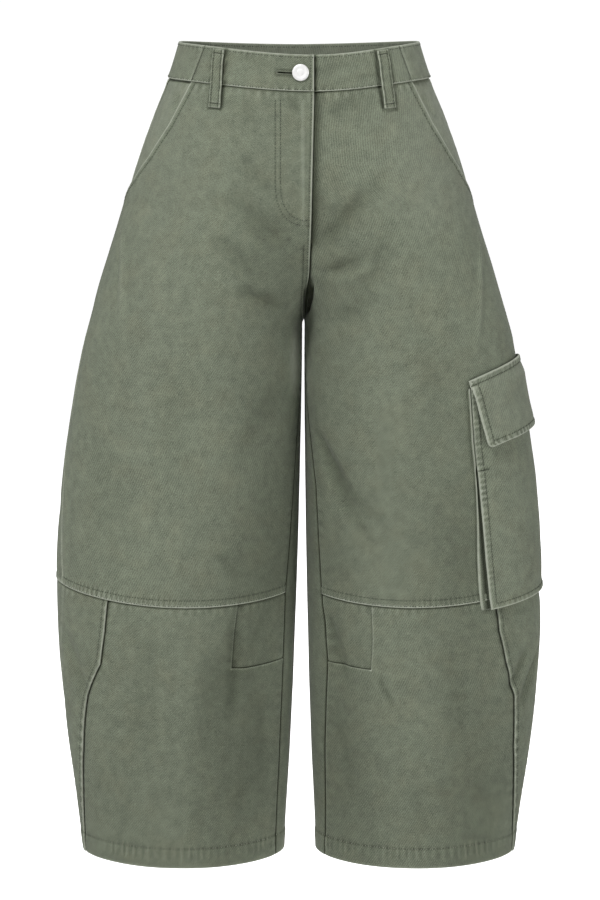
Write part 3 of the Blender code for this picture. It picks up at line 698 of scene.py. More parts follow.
# the close stitches of the bar tacks and the buttonhole, with turn as the angle to their row
closeStitches = {
    "flyTack": {"pitch": 0.8, "length": 1.9, "width": 0.5, "turn": 1.35},
    "loopTack": {"pitch": 0.62, "length": 1.7, "width": 0.45, "turn": 1.35},
    "pocketTack": {"pitch": 0.7, "length": 1.8, "width": 0.45, "turn": 1.35},
    "holeSide": {"pitch": 0.62, "length": 1.6, "width": 0.5, "turn": pi / 2},
    "holeEnd": {"pitch": 0.6, "length": 1.8, "width": 0.5, "turn": pi / 2},
}
searchFrom = 0.02  # metres out from the form, where a search for the cloth's outer face starts
stitchRows = {}


def offsetPath(path, inset):
    # the same line moved to its left side, seen from outside, by inset millimetres
    tangent = unit(np.gradient(path["points"], axis=0))
    inward = unit(np.cross(path["outs"], tangent))
    return makePath(path["points"] + inward * inset * mm, path["outs"])


def alongPath(path, at, key="points"):
    return np.stack([np.interp(at, path["along"], path[key][:, k]) for k in range(3)], axis=-1)


def partOf(path, start, end):
    # the stretch of a path from start to end, in millimetres along it
    end = path["along"][-1] + end if end <= 0 else end
    at = np.linspace(start, end, max(4, int((end - start) / 4)))
    return makePath(alongPath(path, at), alongPath(path, at, "outs"))


def sew(group, onto, path, pitch=None, length=None, width=None, turn=0, sink=0.0):
    # stitches along a path, laid on the nearest of the named pieces' outer faces
    pitch, length, width = pitch or thread["pitch"], length or thread["length"], width or thread["width"]
    whole = path["along"][-1]
    count = int(whole / pitch)
    for n in range(count):
        at = (n + 0.5) * whole / count + thread["stray"] * pitch * sin(n * 2.399)
        point, ahead, behind = (Vector(alongPath(path, place)) for place in (at, at + 1, at - 1))
        away = Vector(alongPath(path, at, "outs"))
        found = [covers[name].ray_cast(point + away * searchFrom, -away, 2 * searchFrom) for name in onto]
        found = [hit for hit in found if hit[0] is not None]
        if not found:
            continue
        place, normal = min(found, key=lambda hit: hit[3])[:2]
        normal = normal if normal.dot(away) > 0 else -normal
        tangent = (ahead - behind).normalized()
        tangent = (tangent - normal * tangent.dot(normal)).normalized()
        if turn:
            tangent = Matrix.Rotation(turn, 3, normal) @ tangent
        long = tangent * (length * (0.94 + 0.1 * sin(n * 1.7)))
        row = (place + normal * (sink + thread["above"]) * mm, long, normal.cross(tangent) * width,
               normal * thread["height"])
        stitchRows.setdefault(group, []).append(row)


def makeStitches(group, name):
    # one small rounded stitch copied to every place in the group
    bm = bmesh.new()
    bmesh.ops.create_icosphere(bm, subdivisions=1, radius=0.5)
    unitVerts = np.array([vert.co[:] for vert in bm.verts])
    unitFaces = np.array([[vert.index for vert in face.verts] for face in bm.faces])
    bm.free()
    verts, faces = [], []
    for n, (place, along, beside, normal) in enumerate(stitchRows[group]):
        turned = unitVerts @ np.array([along, beside, normal]) * mm
        verts.append(turned + np.array(place))
        faces.append(unitFaces + n * len(unitVerts))
    mesh = bpy.data.meshes.new(name)
    mesh.from_pydata(np.concatenate(verts).tolist(), [], np.concatenate(faces).tolist())
    mesh.shade_smooth()
    return addObject(name, mesh)


def inside(side, path, inset):
    # the line moved round the section towards larger angles, or a level line moved up
    return offsetPath(path, -side * inset)


# The fly: a curved double row, the row beside its edge, the row on the rise and a pressed line.
# Rows' starts and ends are millimetres along them
fly = {
    "x": -25, "inner": 5.6, "top": -29, "turn": -118, "end": 11.6, "low": -168, "roundness": 2.5,
    "edgeRow": 2.6, "edgeRowRun": (3, -8), "deep": 158, "riseRow": 7, "riseRowRun": (162, -14),
    "pressedX": 4, "pressedTop": -33, "tack": 14,
}
straight = np.linspace(fly["top"], fly["turn"], 20)
bend = np.linspace(0.03, 1, 26) * pi / 2
power = 2 / fly["roundness"]
curveX = fly["end"] - (fly["end"] - fly["x"]) * np.cos(bend) ** power
curveLevel = fly["turn"] + (fly["low"] - fly["turn"]) * np.sin(bend) ** power
flyPath = frontPath(np.concatenate((np.full(20, fly["x"]), curveX)), np.concatenate((straight, curveLevel)))
flyInner = inside(-1, flyPath, fly["inner"])
pressedPath = frontPath(np.full(24, fly["pressedX"]), np.linspace(fly["pressedTop"], fly["low"], 24))

loop = {
    "width": 13, "top": 16.5, "low": -43.5, "thick": 1.8, "rest": 0.4, "rise": 3.2, "fold": 1.3, "sewn": 0.24,
    "foldAt": 5.6, "tackAt": 4.4, "welt": 0.45, "groove": 0.3, "ripple": 0.14, "tackDepth": 0.35,
    "places": (("FrontRight", -1, 48.9, 52.9), ("FrontLeft", 1, 53.2, 55.3), ("BackRight", -1, -34, -37),
               ("BackLeft", 1, -34, -37), ("BackCentre", -1, -90, -90)),
    "across": (0, 0.3, 0.8, 1.5, 2.4, 3.6, 5, 6.5, 8, 9.4, 10.6, 11.5, 12.2, 12.7, 13),
    "edgeRow": 2.1, "roll": 0.9, "shade": 7.2, "tackReach": 4.6, "fades": (-1.5, 1.2),
}


def loopShades(side):
    # painted shadow on the cloth right beside the front belt loops
    shades = []
    for label, loopSide, topAngle, lowAngle in loop["places"][:2]:
        if loopSide == side:
            middle = tracePath(side, ((topAngle, loop["top"]), (lowAngle, loop["low"])))
            shades += [(offsetPath(middle, reach), "loopShade") for reach in (-loop["shade"], loop["shade"])]
    return shades


# Fronts, from the waistband to the knee seam, cut away at the slant pockets
fronts = {"stitchRow": 8, "lowRow": 1.9, "slantRow": 6.6}
for side, label in ((-1, "Right"), (1, "Left")):
    name = "front" + label
    marks = [outerEdge(side), riseEdge(side, True)]
    grid = gridOn(side, marks, [("stitched", 124, "stitched")],
                  [form["knee"] + 0.15, form["waistSeam"] + cloth["beneath"]], [("stitched", 188, "plain")])
    kneePath = roundLevel(side, form["knee"], *marks)
    slantPath = downSeam(side, marks[0], form["waistSeam"], form["pocketEnd"] + 0.5, 60)
    risePath = downSeam(side, marks[1], form["waistSeam"], form["crotch"] + 1)
    edges = [(kneePath, "over"), (slantPath, "opening"),
             (downSeam(side, seam("side", side), form["pocketEnd"], form["knee"]), "seam"),
             (downSeam(side, marks[1], form["crotch"] - 1, form["knee"]), "inseamOver"),
             (roundLevel(side, form["waistSeam"], *marks), "under")] + loopShades(side)
    if side < 0:
        riseRow = partOf(inside(-1, risePath, -fly["riseRow"]), *fly["riseRowRun"])
        edges += [(risePath, "flyOver"), (flyPath, "row"), (flyInner, "row"), (pressedPath, "pressed"),
                  (riseRow, "riseRow")]
    else:
        edges += [(partOf(risePath, 0, fly["deep"]), "flyUnder"),
                  (partOf(risePath, fly["deep"] + 7, 0), "flyUnderLow")]
    panel(name, side, grid, edges)
    sew("knee" + label, [name], inside(side, kneePath, fronts["stitchRow"]))
    sew("knee" + label, [name], inside(side, kneePath, fronts["lowRow"]))
    sew("pocketOpening" + label, [name], inside(side, slantPath, fronts["slantRow"]))
    if side < 0:
        sew("fly", [name], partOf(inside(-1, risePath, -fly["edgeRow"]), *fly["edgeRowRun"]))
        sew("fly", [name], flyPath)
        sew("fly", [name], riseRow)
        sew("fly", [name], partOf(flyInner, 0, -3))
        tack = partOf(flyInner, flyPath["along"][-1] - fly["tack"], -3)
        sew("fly", [name], tack, **closeStitches["flyTack"])
print("fronts made")

# Hip pieces seen in the slant pockets' openings
facing = {"low": -155, "seamTuck": -2.3, "slantTuck": 5.4, "depth": 2.7, "rise": 0.7, "radius": 130}


def facingRise(side, angle, level):
    slant, start = seamAngle("slant", 1, level), seamAngle("side", 1, level)
    width = facing["radius"] * np.minimum(slant - angle, angle - start)
    return facing["rise"] * smooth((width - 1) / 6)


for side, label in ((-1, "Right"), (1, "Left")):
    marks = [seam("side", side, facing["seamTuck"]), seam("slant", side, facing["slantTuck"])]
    grid = gridOn(side, marks, [("plain", 22, "plain")],
                  [facing["low"] + 0.15, form["waistSeam"] + cloth["beneath"]], [("plain", 40, "plain")])
    edges = [(roundLevel(side, form["waistSeam"], *marks), "under")]
    panel("hipFacing" + label, side, grid, edges, lift=-facing["depth"], extra=facingRise, outerFade=0.16)

# Lower pieces of the legs, below the knee seam
lower = {
    "edgeRow": 4.6, "hemRow": 22, "beneath": 0.7, "insetRun": 78, "turnUp": (-865, -844), "turnUpThick": 1.4,
}
hemRows = []
for side, label in ((-1, "Right"), (1, "Left")):
    knee, hem, insetEnd = form["knee"], form["hem"], form["insetEnd"]
    sideMark, shapedMark, insetMark, inseamMark, backMark = (
        seam(key, side) for key in ("side", "shaped", "inset", "inseam", "backShaped"))
    endMark = seam("side", side, 360)
    shapedPath, insetPath, inseamPath, sidePath, backPath = (
        downSeam(side, mark, knee, low) for mark, low in (
            (shapedMark, hem), (insetMark, insetEnd), (inseamMark, hem), (sideMark, hem), (backMark, hem)))
    insetLow = roundLevel(side, insetEnd, insetMark, inseamMark)
    ends = [knee + cloth["beneath"], hem + 0.15]
    legLevels, legRows = [ends[1], insetEnd, ends[0]], [("hem", 66, "plain"), ("plain", 28, "plain")]

    def hemAndKnee(first, last, kneeLast=None, side=side):
        return [(roundLevel(side, form["hem"], first, last), "hem"),
                (roundLevel(side, form["knee"], first, kneeLast or last), "under")]

    # side piece in front
    name = "frontSideLower" + label
    grid = gridOn(side, [sideMark, shapedMark], [("plain", 10, "stitched")], legLevels, legRows)
    edges = [(sidePath, "seam"), (shapedPath, "edgeStitched")]
    panel(name, side, grid, edges + hemAndKnee(sideMark, shapedMark))
    sew("lower" + label, [name], inside(side, shapedPath, -lower["edgeRow"]))

    # side piece behind
    name = "backSideLower" + label
    grid = gridOn(side, [backMark, endMark], [("stitched", 18, "plain")], ends[::-1], [("hem", 76, "plain")])
    edges = [(sidePath, "seam"), (backPath, "edgeStitched")]
    panel(name, side, grid, edges + hemAndKnee(backMark, endMark))
    sew("lower" + label, [name], inside(side, backPath, lower["edgeRow"]))

    # main piece in front, with a corner left out for the knee inset
    grid = gridOn(side, [seam("shaped", side, -lower["beneath"]), insetMark, inseamMark],
                  [("plain", 64, "plain"), ("plain", 16, "plain")], legLevels, legRows, {(1, 1)})
    edges = [(shapedPath, "shapedUnder"), (insetPath, "insetEdge"), (insetLow, "insetEdge"),
             (partOf(inseamPath, lower["insetRun"], 0), "inseamOver")]
    panel("frontLower" + label, side, grid, edges + hemAndKnee(shapedMark, inseamMark, insetMark))

    # knee inset
    grid = gridOn(side, [insetMark, inseamMark], [("plain", 16, "plain")], [insetEnd + 0.15, ends[0]],
                  [("plain", 24, "plain")])
    edges = [(insetPath, "softUnder"), (insetLow, "insetUnder"),
             (partOf(inseamPath, 0, lower["insetRun"]), "inseamOver"),
             (roundLevel(side, knee, insetMark, inseamMark), "under")]
    panel("kneeInset" + label, side, grid, edges)

    # turned-up hem inside
    grid = gridOn(side, [sideMark, endMark], [("none", 150, "none")], lower["turnUp"],
                  [("plain", 4, "plain")])
    panel("hem" + label, side, grid, [], -(cloth["thick"] + cloth["gap"]), lower["turnUpThick"], closed=True)
    names = [piece + label for piece in ("frontSideLower", "frontLower", "backSideLower", "back")]
    hemPath = roundLevel(side, hem, sideMark, endMark, 220)
    hemRows.append(("hem" + label, names, inside(side, hemPath, lower["hemRow"])))
print("lower pieces made")

# Backs, from the waistband to the hem, with the outer corner below the knee left out
backs = {"kneeShare": 0.677, "seatRow": 6.2, "edgeRow": 1.4, "flatEnd": 110, "beneath": 1 / 60}
for side, label in ((-1, "Right"), (1, "Left")):
    name = "back" + label
    innerMark, sideMark, shapedMark = riseEdge(side, False), seam("side", side, 360), seam("backShaped", side)

    def split(level, side=side, innerMark=innerMark):
        share = backs["kneeShare"]
        above = innerMark(level) * (1 - share) + (seamAngle("side", side, level) + 2 * pi) * share
        under = radians(lower["beneath"])
        return np.where(level < form["knee"], seamAngle("backShaped", side, level) + under, above)

    def middleEdge(level, side=side, innerMark=innerMark):
        # the left piece reaches under the right one at the centre back
        reaching = (side > 0) & (level > form["crotch"] + 1)
        return innerMark(level) - np.where(reaching, lower["beneath"] * backs["beneath"], 0)

    grid = gridOn(side, [middleEdge, split, sideMark], [("stitched", 50, "plain"), ("plain", 26, "plain")],
                  [form["hem"] + 0.15, form["knee"], form["waistSeam"] + cloth["beneath"]],
                  [("hem", 76, "plain"), ("plain", 142, "plain")], {(1, 0)})
    seatPath = downSeam(side, innerMark, form["waistSeam"], form["crotch"] + 1)
    seatEnd = seatPath["along"][-1] - backs["flatEnd"]
    seatEdges = ([(seatPath, "edgeStitched")] if side < 0 else
                 [(partOf(seatPath, 0, seatEnd), "under"), (partOf(seatPath, seatEnd + 6, 0), "underLow")])
    edges = seatEdges + [(downSeam(side, middleEdge, form["crotch"] - 1, form["hem"]), "inseamUnder"),
                         (downSeam(side, sideMark, form["waistSeam"], form["knee"]), "pressedSeam"),
                         (downSeam(side, shapedMark, form["knee"], form["hem"]), "shapedUnder"),
                         (roundLevel(side, form["knee"], split, sideMark), "over"),
                         (roundLevel(side, form["hem"], middleEdge, shapedMark), "hem"),
                         (roundLevel(side, form["waistSeam"], middleEdge, sideMark), "under")]
    panel(name, side, grid, edges)
    if side < 0:
        sew("seat", [name], inside(side, seatPath, backs["edgeRow"]))
        sew("seat", [name], inside(side, seatPath, backs["seatRow"]))
for group, names, path in hemRows:
    sew(group, names, path, pitch=3.2)
print("backs made")

# Waistband
band = {
    "lift": 0.5, "thick": 3.0, "topRow": 3.2, "lowRow": 1.5, "endRow": 3.4, "joinRow": 1.2,
    "holeStart": -22.5, "holeEnd": 3.2, "slit": 0.8, "holeLevel": -0.8,
}


def joinMark(level):
    return seamAngle("bandJoin", 1, level)


def bandAngle(side, x):
    # the angle of a place x millimetres across the front, at each level
    return lambda level: angleAt(side, np.abs(x - across(side, True, level)[0]), level)


def centreBack(level):
    return np.full_like(np.asarray(level, float), -pi / 2)


def bandPaths(side, first, last, count=70):
    return [roundLevel(side, level, first, last, count) for level in (form["waistTop"], form["waistSeam"])]


bandLevels, bandRows = [form["waistSeam"] + 0.15, form["waistTop"]], [("plain", 12, "plain")]
for side, label in ((-1, "Right"), (1, "Left")):
    flyMark = lambda level, side=side: angleAt(side, 0, level)
    topPath, lowPath = bandPaths(side, joinMark, flyMark)
    joinPath, endPath = (downSeam(side, mark, form["waistTop"], form["waistSeam"], 20)
                         for mark in (joinMark, flyMark))
    edges = [(topPath, "bandEdge"), (lowPath, "bandLow"), (joinPath, "join"),
             (endPath, "flyOver" if side < 0 else "bandUnder")] + loopShades(side)
    if side < 0:
        slit, middle = band["slit"], band["holeLevel"]
        marks = [joinMark, bandAngle(-1, band["holeStart"]), bandAngle(-1, band["holeEnd"]), flyMark]
        columns = [("plain", 22, "plain"), ("plain", 10, "plain"), ("plain", 3, "plain")]
        levels = [bandLevels[0], middle - slit, middle + slit, bandLevels[1]]
        rows = [("plain", 6, "plain"), ("none", 2, "none"), ("plain", 6, "plain")]
        grid = gridOn(side, marks, columns, levels, rows, {(1, 1)})
        edges.append((frontPath([band["holeStart"], band["holeEnd"]], [middle, middle]), "hole"))
    else:
        grid = gridOn(side, [joinMark, flyMark], [("plain", 34, "plain")], bandLevels, bandRows)
    name = "bandFront" + label
    panel(name, side, grid, edges, band["lift"], band["thick"])
    sew("band", [name], inside(side, topPath, -band["topRow"]))
    sew("band", [name], inside(side, lowPath, band["lowRow"]))
    sew("band", [name], inside(side, joinPath, band["joinRow"]), pitch=2.4)
    if side < 0:
        sew("band", [name], inside(side, endPath, -band["endRow"]))

# the back of the band, in two halves that meet at the centre back
right, left = (gridOn(side, [centreBack, joinMark], [("none", 72, "plain")], bandLevels, bandRows)
               for side in (-1, 1))
grid = [np.concatenate((right[n][:, ::-1], left[n][:, (1, 1, 0)[n]:]), axis=1) for n in range(3)]
backSide = np.where(np.arange(grid[0].shape[1]) < right[0].shape[1], -1, 1)
edges, halves = [], []
for side in (-1, 1):
    topPath, lowPath = bandPaths(side, centreBack, joinMark, 120)
    joinPath = downSeam(side, joinMark, form["waistTop"], form["waistSeam"], 20)
    edges += [(topPath, "bandEdge"), (lowPath, "bandLow"), (joinPath, "seam")]
    halves.append((inside(side, topPath, -band["topRow"]), inside(side, lowPath, band["lowRow"])))
# the band's inner face is painted paler, a painted light where it lies in shade
panel("bandBack", backSide, grid, edges, band["lift"], band["thick"], innerPaintedLight=0.5)
for topRow, lowRow in halves:
    sew("band", ["bandBack"], topRow)
    sew("band", ["bandBack"], makePath(topRow["points"], -topRow["outs"]), sink=band["thick"])
    sew("band", ["bandBack"], lowRow)

# Fly underlap, behind the fly
underlap = {"start": -26, "end": 30, "low": -172, "top": 18, "depth": 5.6}
lapX, lapLevel = np.meshgrid(np.linspace(underlap["start"], underlap["end"], 24),
                             np.linspace(underlap["low"], underlap["top"], 64))
lapSide, lapAngle = frontSpot(lapX, lapLevel)
panel("flyUnderlap", lapSide, [lapAngle, lapLevel, np.ones((63, 23), bool)], [], lift=-underlap["depth"])
print("waistband made")

# Belt loops, sewn down at both ends
alongLoop = np.array([0, 0.3, 0.8, 1.5, 2.3, 3.2, 4.2, 5.2, 6.4])
acrossLoop = np.array(loop["across"])
length = loop["top"] - loop["low"]
rows = np.concatenate((alongLoop, np.linspace(8, length - 8, 24), length - alongLoop[::-1]))
fromEnd = np.minimum(rows, length - rows)[:, None]
fromSide = np.minimum(acrossLoop, loop["width"] - acrossLoop)[None, :]
fromEdge = np.minimum(fromSide, fromEnd)
onto = [key for key in covers if key.startswith(("front", "back", "bandFront", "bandBack"))]
for label, side, topAngle, lowAngle in loop["places"]:
    name = "beltLoop" + label
    t = rows / length
    spot, around, up, out = formAt(side, np.radians(lowAngle + (topAngle - lowAngle) * t), loop["low"] + rows)
    floor = []
    for n in range(len(rows)):
        hits = []
        for reach in (-5, 0, 5):
            start = Vector(spot[n] + around[n] * reach * mm + out[n] * searchFrom)
            found = [covers[key].ray_cast(start, Vector(-out[n]), 2 * searchFrom)[3] for key in onto]
            found = [distance for distance in found if distance is not None]
            hits.append(searchFrom / mm - min(found, default=searchFrom) / mm)
        floor.append(max(hits))
    floor = np.convolve(np.pad(floor, 2, "edge"), np.ones(5) / 5, "valid")
    rise = smooth(fromEnd[:, 0] / length / loop["sewn"]) * (1 - 0.25 * np.sin(3 * t))
    clear = loop["rest"] + loop["rise"] * rise
    folded = loop["fold"] * (1 - smooth((fromEnd - loop["foldAt"] + 0.4) / 1.2))
    curl = curlOf(fromEdge, loop["roll"])
    welt = loop["welt"] * (1 - smooth((fromSide - loop["edgeRow"] + 0.4) / 1.6))
    stitched = bump((fromSide - loop["edgeRow"]) / 0.6)
    ripple = loop["ripple"] * np.sin(rows / 1.3 + 2 * np.sin(rows / 9))[:, None] * (fromSide < 3)
    tacked = -loop["tackDepth"] * bump((fromEnd - loop["tackAt"]) / 0.8)
    base = (floor + clear)[:, None] * np.ones_like(curl)
    outward = base + (loop["thick"] + folded) + welt - loop["groove"] * stitched + ripple + tacked - curl
    inward = base + curl * 0.8
    points = spot[:, None, :] + (acrossLoop - loop["width"] / 2)[None, :, None] * around[:, None, :] * mm
    outer, inner = (points + out[:, None, :] * (height * mm)[:, :, None] for height in (outward, inward))
    # paler rubbed edges and fold, with painted shade along the stitched rows, in the ripples' hollows and at
    # the tacks
    pale = 1.1 * bump(fromEdge / 0.7) - 1.0 * stitched + 1.5 * ripple
    pale = pale + 0.9 * bump((fromEnd - loop["foldAt"]) / 0.5) - 0.9 * bump((fromEnd - loop["tackAt"]) / 0.6)
    flat = np.meshgrid(acrossLoop * mm, rows * mm)
    keep = np.ones((len(rows) - 1, len(acrossLoop) - 1), bool)
    wall(name, outer, inner, keep, *flat, np.clip(pale, *loop["fades"]))
    middlePath = makePath(spot[::-1], out[::-1])
    for reach in (-1, 1):
        beside = reach * (loop["width"] / 2 - loop["edgeRow"])
        sew("beltLoops", [name], partOf(offsetPath(middlePath, beside), 1, -1), pitch=2.6, length=1.7)
    for at in (loop["tackAt"], length - loop["tackAt"]):
        row = int(np.argmin(np.abs(rows - at)))
        ends = spot[row] + np.array([[-1], [1]]) * loop["tackReach"] * around[row] * mm
        tack = makePath(ends, np.array([out[row], out[row]]))
        sew("beltLoops", [name], tack, **closeStitches["loopTack"])
print("belt loops made")

# Cargo pocket on the wearer's left leg. A place on it runs from the front edge to the back one (0
# to 1) and from the low edge up. Sizes are in millimetres outwards from the form.
pocket = {
    "middle": 11, "width": 172, "height": 237, "clear": 0.8, "gusset": 1.8, "faceClear": 0.6, "thick": 1.6,
    "bulge": {"height": 1.4, "from": 4, "over": 34, "top": 120, "topOver": 90},
    "tackLevel": -427, "tackShare": 144 / 229, "tacks": ((0.002, 0.062), (0.938, 0.998)),
    "held": {"depth": 1.5, "below": 3, "over": 8, "sides": 3, "sidesOver": 14},
    "tackShade": {"amount": 1.2, "reach": 11, "over": 2, "sides": 1.1, "sidesReach": 1.5, "sidesOver": 6},
    "rowTop": 0.9, "stitch": 2.8,
}
face = {
    "reach": (46.7, 49.5), "level": (-574, -337), "sag": (-1, 7), "bow": 1.3, "row": 6.2, "roll": 1.2,
    "welt": 0.5, "weltTo": 5.6, "weltSoft": 1.4, "groove": 0.35, "pitch": 6, "ribs": 0.34, "ribsTo": 5.6,
    "fade": 0.02, "paleWide": 1.2, "ribFade": 1.8, "rowFade": 0.5, "waves": 24, "shift": (3, 1, 7),
    "soft": 0.9, "softFrom": 12,
}
flap = {
    "reach": (43.8, 50.3), "level": (-395.5, -318.5), "sag": (11.5, 17.5), "row": 6.4, "roll": 1.35,
    "welt": 0.6, "weltTo": 5.8, "weltSoft": 1.3, "groove": 0.4, "pitch": 5.6, "ribs": 0.38, "ribsTo": 5.4,
    "fade": 0.12, "paleWide": 1.3, "ribFade": 1.9, "rowFade": 0.6, "waves": 22, "shift": (9, 4, 2),
    "soft": 1.1, "softFrom": 10, "height": 76, "thick": 2.0, "corner": 7, "cornerIn": 0.8, "topIn": 0.5,
    "topFrom": 67.2, "clear": 0.9, "downFrom": 0.74, "downOver": 0.22, "rowIn": 0.006,
    # the swell over the pocket's contents, less near the sides, and the one along the low edge
    "swell": {"middle": 1.6, "at": 2, "reach": 14, "sides": 40, "low": 2.4, "lowAt": 4, "lowReach": 24},
}
borderLoops = np.array([0, 0.3, 0.8, 1.5, 2.5, 3.6, 4.6, 5.4, 6.0, 6.6, 7.3, 8.4, 10])


def patch(sizes, p, q):
    outward = 1 - 2 * p
    reach = sizes["reach"][0] + (sizes["reach"][1] - sizes["reach"][0]) * q
    reach = reach + sizes.get("bow", 0) * 4 * q * (1 - q)
    low = sizes["level"][0] - sizes["sag"][0] * outward**2
    top = sizes["level"][1] - sizes["sag"][1] * outward**2
    return np.radians(pocket["middle"] + outward * reach), low + (top - low) * q


def patchLine(sizes, start, end):
    # a line across a pocket piece, from one place on it to another
    steps = np.linspace(0, 1, 60)
    return onForm(1, *patch(sizes, *(a + (b - a) * steps for a, b in zip(start, end))))


def patchWall(name, sizes, p, q, outward, inward, fade, flat=None):
    # flat holds the cloth's own two measures, in metres, where the place on the pocket doesn't give them
    angle, level = patch(sizes, p, q)
    spot, around, up, out = (rows.reshape(*p.shape, 3) for rows in formAt(1, angle.ravel(), level.ravel()))
    outer, inner = (spot + out * (height * mm)[..., None] for height in (outward, inward))
    keep = np.ones((p.shape[0] - 1, p.shape[1] - 1), bool)
    flat = flat or (p * pocket["width"] * mm, level * mm)
    wall(name, outer, inner, keep, *flat, np.clip(fade, *cloth["fades"]))


def bordered(length, cells):
    middle = np.linspace(borderLoops[-1], length - borderLoops[-1], cells + 1)
    return np.concatenate((borderLoops[:-1], middle, length - borderLoops[::-1][1:]))


def finished(sizes, p, q, along, gap):
    # a pocket piece's softness, its ribs and welt at the stitched border, its rounded edge and its fade:
    # paler rubbed edges and rib ridges, with painted shade in the rib hollows and along the stitched row
    spots = formAt(1, *[rows.ravel() for rows in patch(sizes, p, q)])[0]
    soft = [noise.noise(Vector(spot) * sizes["waves"] + Vector(sizes["shift"])) for spot in spots]
    soft = sizes["soft"] * np.array(soft).reshape(p.shape) * smooth((gap - 6) / sizes["softFrom"])
    wave = np.sin(2 * pi * (along / sizes["pitch"] + 0.8 * uneven(along, sizes["pitch"])))
    wave = wave * (0.7 + 0.8 * uneven(along, 3 * sizes["pitch"]))
    ribs = sizes["ribs"] * wave * smooth(gap / 1.2) * (1 - smooth((gap - sizes["ribsTo"]) / 3))
    welt = sizes["welt"] * (1 - smooth((gap - sizes["weltTo"]) / sizes["weltSoft"]))
    welt = welt - sizes["groove"] * bump((gap - sizes["row"]) / 0.7)
    fade = sizes["fade"] + 1.7 * bump((gap - 0.3) / sizes["paleWide"]) + sizes["ribFade"] * ribs
    fade = fade - sizes["rowFade"] * bump((gap - sizes["row"]) / 0.8)
    return soft, ribs, welt, curlOf(gap, sizes["roll"]), fade


# The face, sewn down at both sides above the tacks
sideways, upward = np.meshgrid(bordered(pocket["width"], 48), bordered(pocket["height"], 70))
p, q = sideways / pocket["width"], upward / pocket["height"]
over = pocket["clear"] + pocket["gusset"] + pocket["faceClear"]
sides = np.minimum(sideways, pocket["width"] - sideways)
fromEdge = np.minimum(sides, upward)
above = patch(face, p, q)[1] - pocket["tackLevel"]
bulge, hold, shade = pocket["bulge"], pocket["held"], pocket["tackShade"]
tackedDown = smooth((above + hold["below"]) / hold["over"])
tackedDown = tackedDown * (1 - smooth((sides - hold["sides"]) / hold["sidesOver"]))
rise = bulge["height"] * smooth((fromEdge - bulge["from"]) / bulge["over"])
rise = rise * (1 - smooth((upward - bulge["top"]) / bulge["topOver"]))
along = np.where(upward <= sides, sideways, upward + 400)
soft, ribs, welt, curl, fade = finished(face, p, q, along, fromEdge)
outward = over + pocket["thick"] + rise + soft + ribs + welt - hold["depth"] * tackedDown
# painted shade below and beside the tacks, where the face is held down
fade = fade - shade["amount"] * bump(above) * (1 - smooth((sides - shade["reach"]) / shade["over"]))
pinched = shade["sides"] * smooth((above + hold["below"]) / shade["sidesOver"])
fade = fade - pinched * bump(sides / shade["sidesReach"])
inward = outward - pocket["thick"] - np.clip(welt, 0, 1)
patchWall("cargoFace", face, p, q, outward - curl, inward + curl, fade)
rowP, rowQ = face["row"] / pocket["width"], face["row"] / pocket["height"]
places = ((rowP, pocket["rowTop"]), (rowP, rowQ), (1 - rowP, rowQ), (1 - rowP, pocket["rowTop"]))
for start, end in zip(places, places[1:]):
    sew("cargoFace", ["cargoFace"], patchLine(face, start, end), pitch=pocket["stitch"])
for start, end in pocket["tacks"]:
    tack = patchLine(face, (start, pocket["tackShare"]), (end, pocket["tackShare"]))
    sew("cargoFace", ["cargoFace"], tack, **closeStitches["pocketTack"])

# The gusset is a folded strip. Its profile runs from under the face, over the fold and back, with
# distances outside the face's edge and heights above the leg.
gusset = {
    "profile": ((-9, 1.6), (-4, 0.9), (-1, 0.8), (0.8, 0.8), (2.0, 0.9), (2.6, 1.5), (3.0, 2.2), (3.6, 2.7),
                (4.3, 2.8), (4.9, 2.5), (5.3, 1.8), (5.2, 1.2)),
    "under": 0.35, "spread": 0.35, "spreadBelow": 1.25, "spreadLow": 0.8, "belowReach": 140, "edge": 0.004,
    "waver": 0.18, "waverAt": 4, "waverReach": 3, "held": 1.7, "heldAt": 0.8, "heldReach": 2.2,
    "foldAt": 4.7, "foldWide": 0.8, "foldPale": 1.2, "dark": 1.9, "darkHeld": 1.2, "darkAt": 0.6,
    "darkWide": 2.0,
}
profile = np.array(gusset["profile"])
fall = np.linspace(1, 0, 70)
walk = ([(0, value, -1) for value in fall] + [(value, 0, 0) for value in np.linspace(0, 1, 50)[1:-1]]
        + [(1, value, 1) for value in fall[::-1]])
baseP, baseQ, outwards = (np.array(column, float) for column in zip(*walk))
low = 1 - np.abs(outwards)
above = patch(face, baseP, baseQ)[1] - pocket["tackLevel"]
held = np.tile(smooth((above + hold["below"]) / hold["over"]) * (1 - low), (len(profile), 1))
below = smooth(-above / gusset["belowReach"] * (1 - low))
spread = gusset["spread"] + gusset["spreadBelow"] * below + gusset["spreadLow"] * low
beside, height = profile[:, :1], profile[:, 1:]
distance = beside * np.where(beside > 0, spread, 1)
p = baseP + outwards * distance / pocket["width"]
q = baseQ + low * -np.minimum(distance, -1) / pocket["height"]
q = np.where((low == 0) & (baseQ < gusset["edge"]), gusset["edge"], q)
waver = gusset["waver"] * np.sin(np.arange(len(walk)) / 2.1)
outward = height + waver * bump((distance - gusset["waverAt"]) / gusset["waverReach"])
outward = outward + held * gusset["held"] * bump((distance - gusset["heldAt"]) / gusset["heldReach"])
fade = gusset["foldPale"] * bump((beside - gusset["foldAt"]) / gusset["foldWide"])
shadow = bump((beside - gusset["darkAt"]) / gusset["darkWide"])
fade = fade - (gusset["dark"] - gusset["darkHeld"] * held) * shadow
walkSteps = np.hypot(np.diff(baseP) * pocket["width"], np.diff(baseQ) * pocket["height"])
profileSteps = np.linalg.norm(np.diff(profile, axis=0), axis=1)
flat = np.meshgrid(*(np.concatenate(([0], np.cumsum(steps))) * mm for steps in (walkSteps, profileSteps)))
